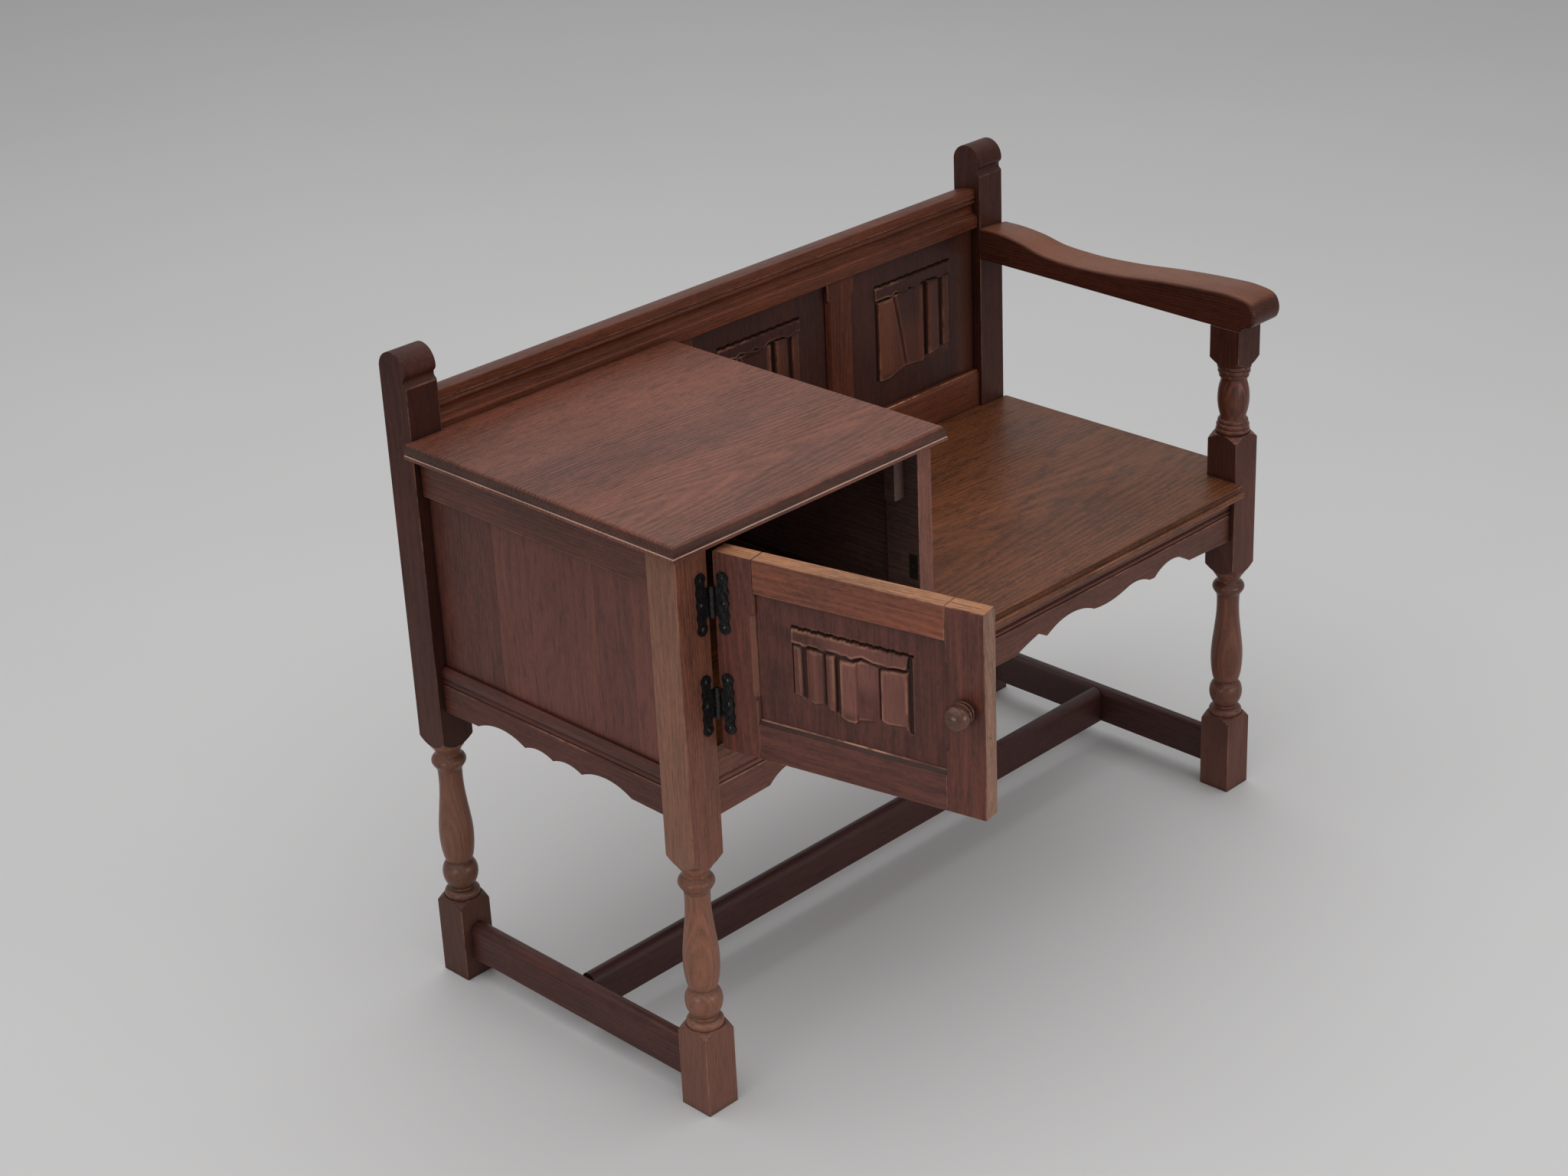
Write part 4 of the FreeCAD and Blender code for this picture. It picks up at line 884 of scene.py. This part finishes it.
def wear_and_shade_of(rise, inside):
    """The relief is worn where it stands out of its softened copy, and painted with shade where it lies deep.
    """
    soft = rise.copy()
    for step in range(30):
        soft[1:-1, 1:-1] = (soft[:-2, 1:-1] + soft[2:, 1:-1] + soft[1:-1, :-2] + soft[1:-1, 2:]) / 4
    edge = np.clip((rise - soft - 0.15) / 0.7, 0, 1) * inside
    hollow = np.clip(np.clip(soft - rise, 0, 1) * 0.45 + np.clip(-rise / 2.4, 0, 1) * 0.5, 0, 0.78)
    return edge, hollow


def carved_mesh(name, corner, size, field, face, thick, height, tint, on_door=False):
    """A panel in bench mm: corner is its low left corner, face its front in Y, field (left, foot, tall)."""
    xs = lines(corner[0], corner[0] + size[0], field[0] - 2, field[0] + FIELD + 2)
    zs = lines(corner[1], corner[1] + size[1], field[1] - 4, field[1] + field[2] + 4)
    gx, gz = np.meshgrid(xs, zs)
    across, up = gx - field[0], gz - field[1]
    inside = smooth(across, -1.4, -0.2) * (1 - smooth(across, FIELD + 0.2, FIELD + 1.4))
    inside = inside * smooth(up, -3.5, -1.5) * (1 - smooth(up, field[2] + 2, field[2] + 3.5))
    rise = np.minimum(height(across, up) * inside, HIGHEST)
    faces, rim = grid_faces(len(zs), len(xs))
    points = [tuple(p) for p in np.stack([gx.ravel(), (face - rise).ravel(), gz.ravel()], 1)]
    points += [(points[i][0], face + thick, points[i][2]) for i in rim]
    swing = SWING if on_door else Matrix()
    data = bpy.data.meshes.new(name)
    data.from_pydata([swing @ (Vector(p) * MM + SHIFT) for p in points], [], faces)
    edge, hollow = wear_and_shade_of(rise, inside)
    for label, values in (("arris", edge), ("painted_shade", hollow), ("painted_light", tint(across, up))):
        values = np.concatenate([values.ravel(), np.zeros(len(rim))]).astype(np.float32)
        data.attributes.new(label, "FLOAT", "POINT").data.foreach_set("value", values)
    return data


def made_outward(data):
    """Turns all faces outwards and merges doubles."""
    mesh = bmesh.new()
    mesh.from_mesh(data)
    bmesh.ops.remove_doubles(mesh, verts=mesh.verts, dist=1e-7)
    bmesh.ops.recalc_face_normals(mesh, faces=mesh.faces)
    assert mesh.calc_volume() > 0
    mesh.to_mesh(data)
    mesh.free()
    return data


print("the carved field is", FIELD, "mm wide")

# %% Carving the three panels
LEFT_CORNER, RIGHT_CORNER, BACK_SIZE = (-62.8, 453.5), (198.1, 453.5), (228.9, 196.5)
panels = {
    "door_panel": carved_mesh("door_carving", (-381, 452), (220.2, 147), (-335, 482, 85), -209.5, 9.0,
                              door_height, door_painted_light, on_door=True),
    "back_panel_carved_left": carved_mesh("left_carving", LEFT_CORNER, BACK_SIZE, (-14.3, 494, 119),
                                          188.0, 8.0, back_height, back_painted_light),
    "back_panel_carved_right": carved_mesh("right_carving", RIGHT_CORNER, BACK_SIZE, (246.6, 494, 119),
                                           188.0, 8.0, back_height, right_painted_light),
}
for node, data in panels.items():
    body = "door" if node == "door_panel" else "frame"
    finish = finishes["door_panel" if body == "door" else "panel"]
    tell(place_piece(node + "_carved", made_outward(data), body, [finish], "stained_oak", node), node)

# %% [markdown]
# ## The arm rest
# The arm is sawn from a thick board to the side view's long wave, and its edges are rounded over by hand. So
# it is the side view, swept across the width in steps. Near either side each step is drawn in along the
# outline's own normal, which is what a rounding does. At the post its outer edge droops a little.

# %% An arm from its side view
ARM = (
    (0, 1), (0.07, 0.993), (0.15, 0.897), (0.234, 0.71), (0.352, 0.633), (0.513, 0.692), (0.684, 0.842),
    (0.83, 0.923), (0.925, 0.93), (0.984, 0.802), (1, 0.484), (0.991, 0.198), (0.963, 0.088),
)
ARM_BACK, ARM_LONG, ARM_LOW, ARM_TALL = 173.5, 407.5, 599.5, 45.5
ARM_LEFT, ARM_WIDE = 421.0, 51.5
STEPS = [0, 0.25, 0.9, 1.9, 3.0, 4.2, *np.linspace(9, 42.5, 6), 47.3, 48.5, 49.6, 50.6, 51.25, ARM_WIDE]
HAND_ROUND, SAWN_EDGE = 4.2, 1.3
DROOP, DOMING = 4.0, 0.9


def arm_side():
    """The side view's outline in mm, along its top, underside and sawn rear end, and how far each of its
    points is rounded over."""
    upper = through([Vector((ARM_BACK - share * ARM_LONG, ARM_LOW + rise * ARM_TALL)) for share, rise in ARM])
    under = [Vector((-215.0, ARM_LOW))]
    under += [Vector((-164.5 + 338 * k / 12, ARM_LOW + 5.5 * k / 12)) for k in range(13)]
    behind = [Vector((ARM_BACK, 605.0 + 40 * k / 5)) for k in range(1, 5)]
    side = upper + under + behind
    return side, [HAND_ROUND if index < len(upper) - 2 else SAWN_EDGE for index in range(len(side))]


def arm_mesh():
    side, radius = arm_side()
    normals = []
    for index in range(len(side)):
        ahead = side[(index + 1) % len(side)] - side[index - 1]
        normals.append(Vector((-ahead.y, ahead.x)).normalized())
    points, faces = [], []
    for x in STEPS:
        depth = min(x, ARM_WIDE - x)
        for point, normal, curve in zip(side, normals, radius):
            inset = curve - math.sqrt(curve ** 2 - (curve - min(depth, curve)) ** 2)
            moved = point + normal * inset
            high = max(0.0, min(1.0, (moved.y - ARM_LOW - 8) / 18))
            droop = DROOP * (x / ARM_WIDE) * smooth(np.array(moved.x), 40, 150)
            droop += DOMING * ((x - ARM_WIDE / 2) / (ARM_WIDE / 2)) ** 2
            y = ARM_BACK if point.x > ARM_BACK - 0.01 else min(moved.x, ARM_BACK)
            points.append(Vector((ARM_LEFT + x, y, moved.y - high * float(droop))) * MM + SHIFT)
    size = len(side)
    for row in range(len(STEPS) - 1):
        for k in range(size):
            here, ahead = row * size + k, row * size + (k + 1) % size
            faces.append((here, ahead, ahead + size, here + size))
    faces += [tuple(range(size)), tuple(range(size * (len(STEPS) - 1), size * len(STEPS)))]
    data = bpy.data.meshes.new("arm")
    data.from_pydata(points, [], faces)
    return data


arm = place_piece("arm_rest_shaped", made_outward(arm_mesh()), "frame", [finishes["arm"]], "stained_oak",
                  "arm_rest")
# Painted light: the arm is painted paler where its faces look up
arm.data.attributes.new("painted_light", "FLOAT", "POINT").data.foreach_set(
    "value", [float(smooth(np.array(v.normal.z), 0.45, 0.95)) for v in arm.data.vertices])
tell(arm, "arm_rest")

# %% [markdown]
# ## Staves of the side panel
# The cupboard's side is glued up from narrow upright boards, and each took the stain a little differently.
# One board is a box, and the panel is a row of them, so Geometry Nodes set them out: a line of points, a box
# on each, and a number drawn for each board that its stain can read.

# %% Building trees of Geometry Nodes
class Tree:
    """A Geometry Nodes tree with named inputs."""

    def __init__(self, name, **inputs):
        self.group = bpy.data.node_groups.new(name, "GeometryNodeTree")
        self.group.interface.new_socket("Geometry", in_out="INPUT", socket_type="NodeSocketGeometry")
        self.identifiers = {}
        for label, (kind, value) in inputs.items():
            socket = self.group.interface.new_socket(label, in_out="INPUT", socket_type="NodeSocket" + kind)
            self.identifiers[label] = socket.identifier
            if value is not None:
                socket.default_value = value
        self.group.interface.new_socket("Geometry", in_out="OUTPUT", socket_type="NodeSocketGeometry")
        self.start = self.group.nodes.new("NodeGroupInput")

    def node(self, kind, inputs=(), **settings):
        """Adds a node. A name as an input's value picks one of the tree's own inputs."""
        own = self.start.outputs
        inputs = {key: own[value] if isinstance(value, str) and value in own else value
                  for key, value in dict(inputs).items()}
        return add_node(self.group, kind, inputs, settings).outputs

    def finish(self, geometry):
        """Makes the copies real and gives them their material."""
        real = self.node("GeometryNodeRealizeInstances", {"Geometry": geometry})[0]
        painted = self.node("GeometryNodeSetMaterial", {"Geometry": real, "Material": "Finish"})
        end = self.group.nodes.new("NodeGroupOutput")
        self.group.links.new(painted["Geometry"], end.inputs["Geometry"])

    def grow(self, name, data, **values):
        """Runs the tree on a mesh and returns the result as a plain mesh."""
        holder = bpy.data.objects.new(name, data)
        scene.collection.objects.link(holder)
        modifier = holder.modifiers.new("tree", "NODES")
        modifier.node_group = self.group
        for label, value in values.items():
            modifier[self.identifiers[label]] = value
        made = baked(holder)
        bpy.data.objects.remove(holder)
        return made


print("trees are written with Tree")

# %% Setting out the staves
def stave_tree():
    tree = Tree("staves", Count=("Int", 7), Width=("Float", 0.05), Height=("Float", 0.2),
                Thick=("Float", 0.008), Gap=("Float", 0.0002), Seed=("Int", 3), Finish=("Material", None))
    pitch = tree.node("ShaderNodeCombineXYZ", {"Y": "Width"})[0]
    line = tree.node("GeometryNodeMeshLine", {"Count": "Count", "Offset": pitch}, mode="OFFSET",
                     count_mode="TOTAL")[0]
    narrow = tree.node("ShaderNodeMath", {0: "Width", 1: "Gap"}, operation="SUBTRACT")[0]
    size = tree.node("ShaderNodeCombineXYZ", {"X": "Thick", "Y": narrow, "Z": "Height"})[0]
    board = tree.node("GeometryNodeMeshCube", {"Size": size})["Mesh"]
    row = tree.node("GeometryNodeInstanceOnPoints", {"Points": line, "Instance": board})[0]
    drawn = tree.node("FunctionNodeRandomValue", {"Seed": "Seed"}, data_type="FLOAT")
    drawn = [socket for socket in drawn if socket.enabled][0]
    told = {"Geometry": row, "Name": "stave_tone", "Value": drawn}
    tree.finish(tree.node("GeometryNodeStoreNamedAttribute", told, data_type="FLOAT", domain="INSTANCE")[0])
    return tree


STAVES = 7
low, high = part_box("cabinet_left_panel")
wide = (high.y - low.y) / STAVES
staves = stave_tree().grow("staves", bpy.data.meshes.new("seed"), Count=STAVES, Width=wide,
                           Height=high.z - low.z, Thick=high.x - low.x, Finish=finishes["staves"])
staves.transform(Matrix.Translation(((low.x + high.x) / 2, low.y + wide / 2, (low.z + high.z) / 2)))
piece = place_piece("cabinet_left_staves", staves, "frame", [], "stained_oak", "cabinet_left_panel")
print(STAVES, "staves of", round(wide / MM, 1), "mm, tones drawn:", "stave_tone" in piece.data.attributes)

# %% [markdown]
# ## Iron, brass and steel
# The hinges and nails are black iron with hammer marks, the catch is brass that has gone dull, and the screws
# are plain steel. A metal is one colour blotted with another, and dents from a coarse noise catch the light.

# %% Metals
def metal(key, name, dark, bright, metallic, rough, struck=0.4):
    """Files a metal under its key: two tones, how metallic and how rough it is, and how deeply struck."""
    sheet = Sheet(name)
    blot = sheet.noise(sheet.place(), 260.0, 3.0, 0.6)
    height = sheet.noise(sheet.place(), 210.0, 1.0) + blot * 0.2
    bump = sheet.node("ShaderNodeBump", {"Strength": struck, "Distance": 0.0009, "Height": height})
    colour = sheet.blend(blot.between(0.35, 0.7), linear(*dark), linear(*bright))
    finishes[key] = sheet.finish(Base_Color=colour, Metallic=metallic, Roughness=rough + 0.15 * blot,
                                 Normal=bump)


metal("iron", "black_iron", (5, 5, 6), (19, 18, 19), 0.3, 0.26, struck=0.7)
metal("nail", "black_nail", (30, 29, 30), (80, 78, 76), 0.8, 0.16)
metal("steel", "screw_steel", (120, 118, 114), (165, 162, 156), 1.0, 0.3)
metal("brass", "aged_brass", (30, 23, 17), (46, 36, 25), 0.5, 0.6)
metal("ball", "rubbed_brass", (118, 90, 64), (150, 120, 84), 0.5, 0.45)
metal("pin", "pin_iron", (4, 4, 5), (14, 13, 14), 0.2, 0.5, struck=0.2)
print("metals ready")

# %% [markdown]
# ## Hinges, nails and knob
# The hinges are cut from hot iron and hammered, so their edges are round and their faces dented. The nails
# are made one by one: a shank, and a head struck to a flat dome. Geometry Nodes put one on every nail hole
# and turn each a little differently. The knob is turned, so only its rings' edges are eased.

# %% Leaves, pins and knob
for height in ("lower", "upper"):
    ease(f"{height}_hinge_leg_leaf", "iron", width=0.35, slot="black_iron")
    ease(f"{height}_hinge_door_leaf", "iron", body="door", width=0.35, slot="black_iron")
    ease(f"{height}_hinge_pin", "pin", width=0.3, slot="black_iron")
ease("door_knob", "knob", body="door", width=0.25, slot="turned_oak")
print("hinges and knob eased")

# %% One nail on every point
def nail_tree():
    tree = Tree("nails", Head=("Float", 0.0023), Tall=("Float", 0.0012), Shank=("Float", 0.012),
                Seed=("Int", 5), Finish=("Material", None))
    dome = tree.node("GeometryNodeMeshUVSphere", {"Segments": 14, "Rings": 10, "Radius": "Head"})["Mesh"]
    flat = tree.node("ShaderNodeMath", {0: "Tall", 1: "Head"}, operation="DIVIDE")[0]
    squash = tree.node("ShaderNodeCombineXYZ", {"X": 0.98, "Y": flat, "Z": 0.98})[0]
    head = tree.node("GeometryNodeTransform", {"Geometry": dome, "Scale": squash})[0]
    taper = {"Vertices": 6, "Radius Top": 0.0004, "Radius Bottom": 0.0009, "Depth": "Shank"}
    rod = tree.node("GeometryNodeMeshCone", taper)["Mesh"]
    shank = tree.node("GeometryNodeTransform", {"Geometry": rod, "Rotation": (-math.pi / 2, 0.0, 0.0)})[0]
    both = tree.group.nodes.new("GeometryNodeJoinGeometry")
    tree.group.links.new(head, both.inputs[0])
    tree.group.links.new(shank, both.inputs[0])
    limits = {0: (0.0, -math.pi, 0.0), 1: (0.0, math.pi, 0.0), "Seed": "Seed"}
    turned = tree.node("FunctionNodeRandomValue", limits, data_type="FLOAT_VECTOR")[0]
    copies = {"Points": "Geometry", "Instance": both.outputs[0], "Rotation": turned}
    tree.finish(tree.node("GeometryNodeInstanceOnPoints", copies)[0])
    return tree


nail_maker = nail_tree()
print("a nail has", len(nail_maker.identifiers), "named sizes and settings")

# %% Nails on their holes
NAIL_X, NAIL_Y = 11.5, -216.0
HINGES, NAILS = (467.5, 576.0), (-26, 0, 26)
for node, side, body in (("hinge_nails_leg", -1, "frame"), ("hinge_nails_door", 1, "door")):
    holes = bpy.data.meshes.new(node)
    holes.from_pydata([Vector((-420 + side * NAIL_X, NAIL_Y, up + step)) * MM + SHIFT
                       for up in HINGES for step in NAILS], [], [])
    made = nail_maker.grow(node, holes, Finish=finishes["nail"])
    if body == "door":
        made.transform(SWING)
    tell(place_piece(node + "_made", made, body, [], "black_iron", node), node)

# %% [markdown]
# ## Hidden pieces
# Dowels, screws, glue blocks and the catch are hardly seen. Their solids are right as they are, so they only
# change their material.

# %% Pieces that keep their own shape
def repaint(finish, *names):
    for name in names:
        data = nodes[name].data
        data.materials.clear()
        data.materials.append(finishes[finish])


repaint("inner", "door_stop", "seat_corner_blocks", "cabinet_top_dowels", "arm_dowels")
repaint("steel", "seat_screws", "knob_screw")
repaint("ball", "catch_ball")
repaint("brass", "catch_strike")
print("repainted")

# %% Measuring and finishing
low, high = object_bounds()
print("size", [round(v, 4) for v in high - low])
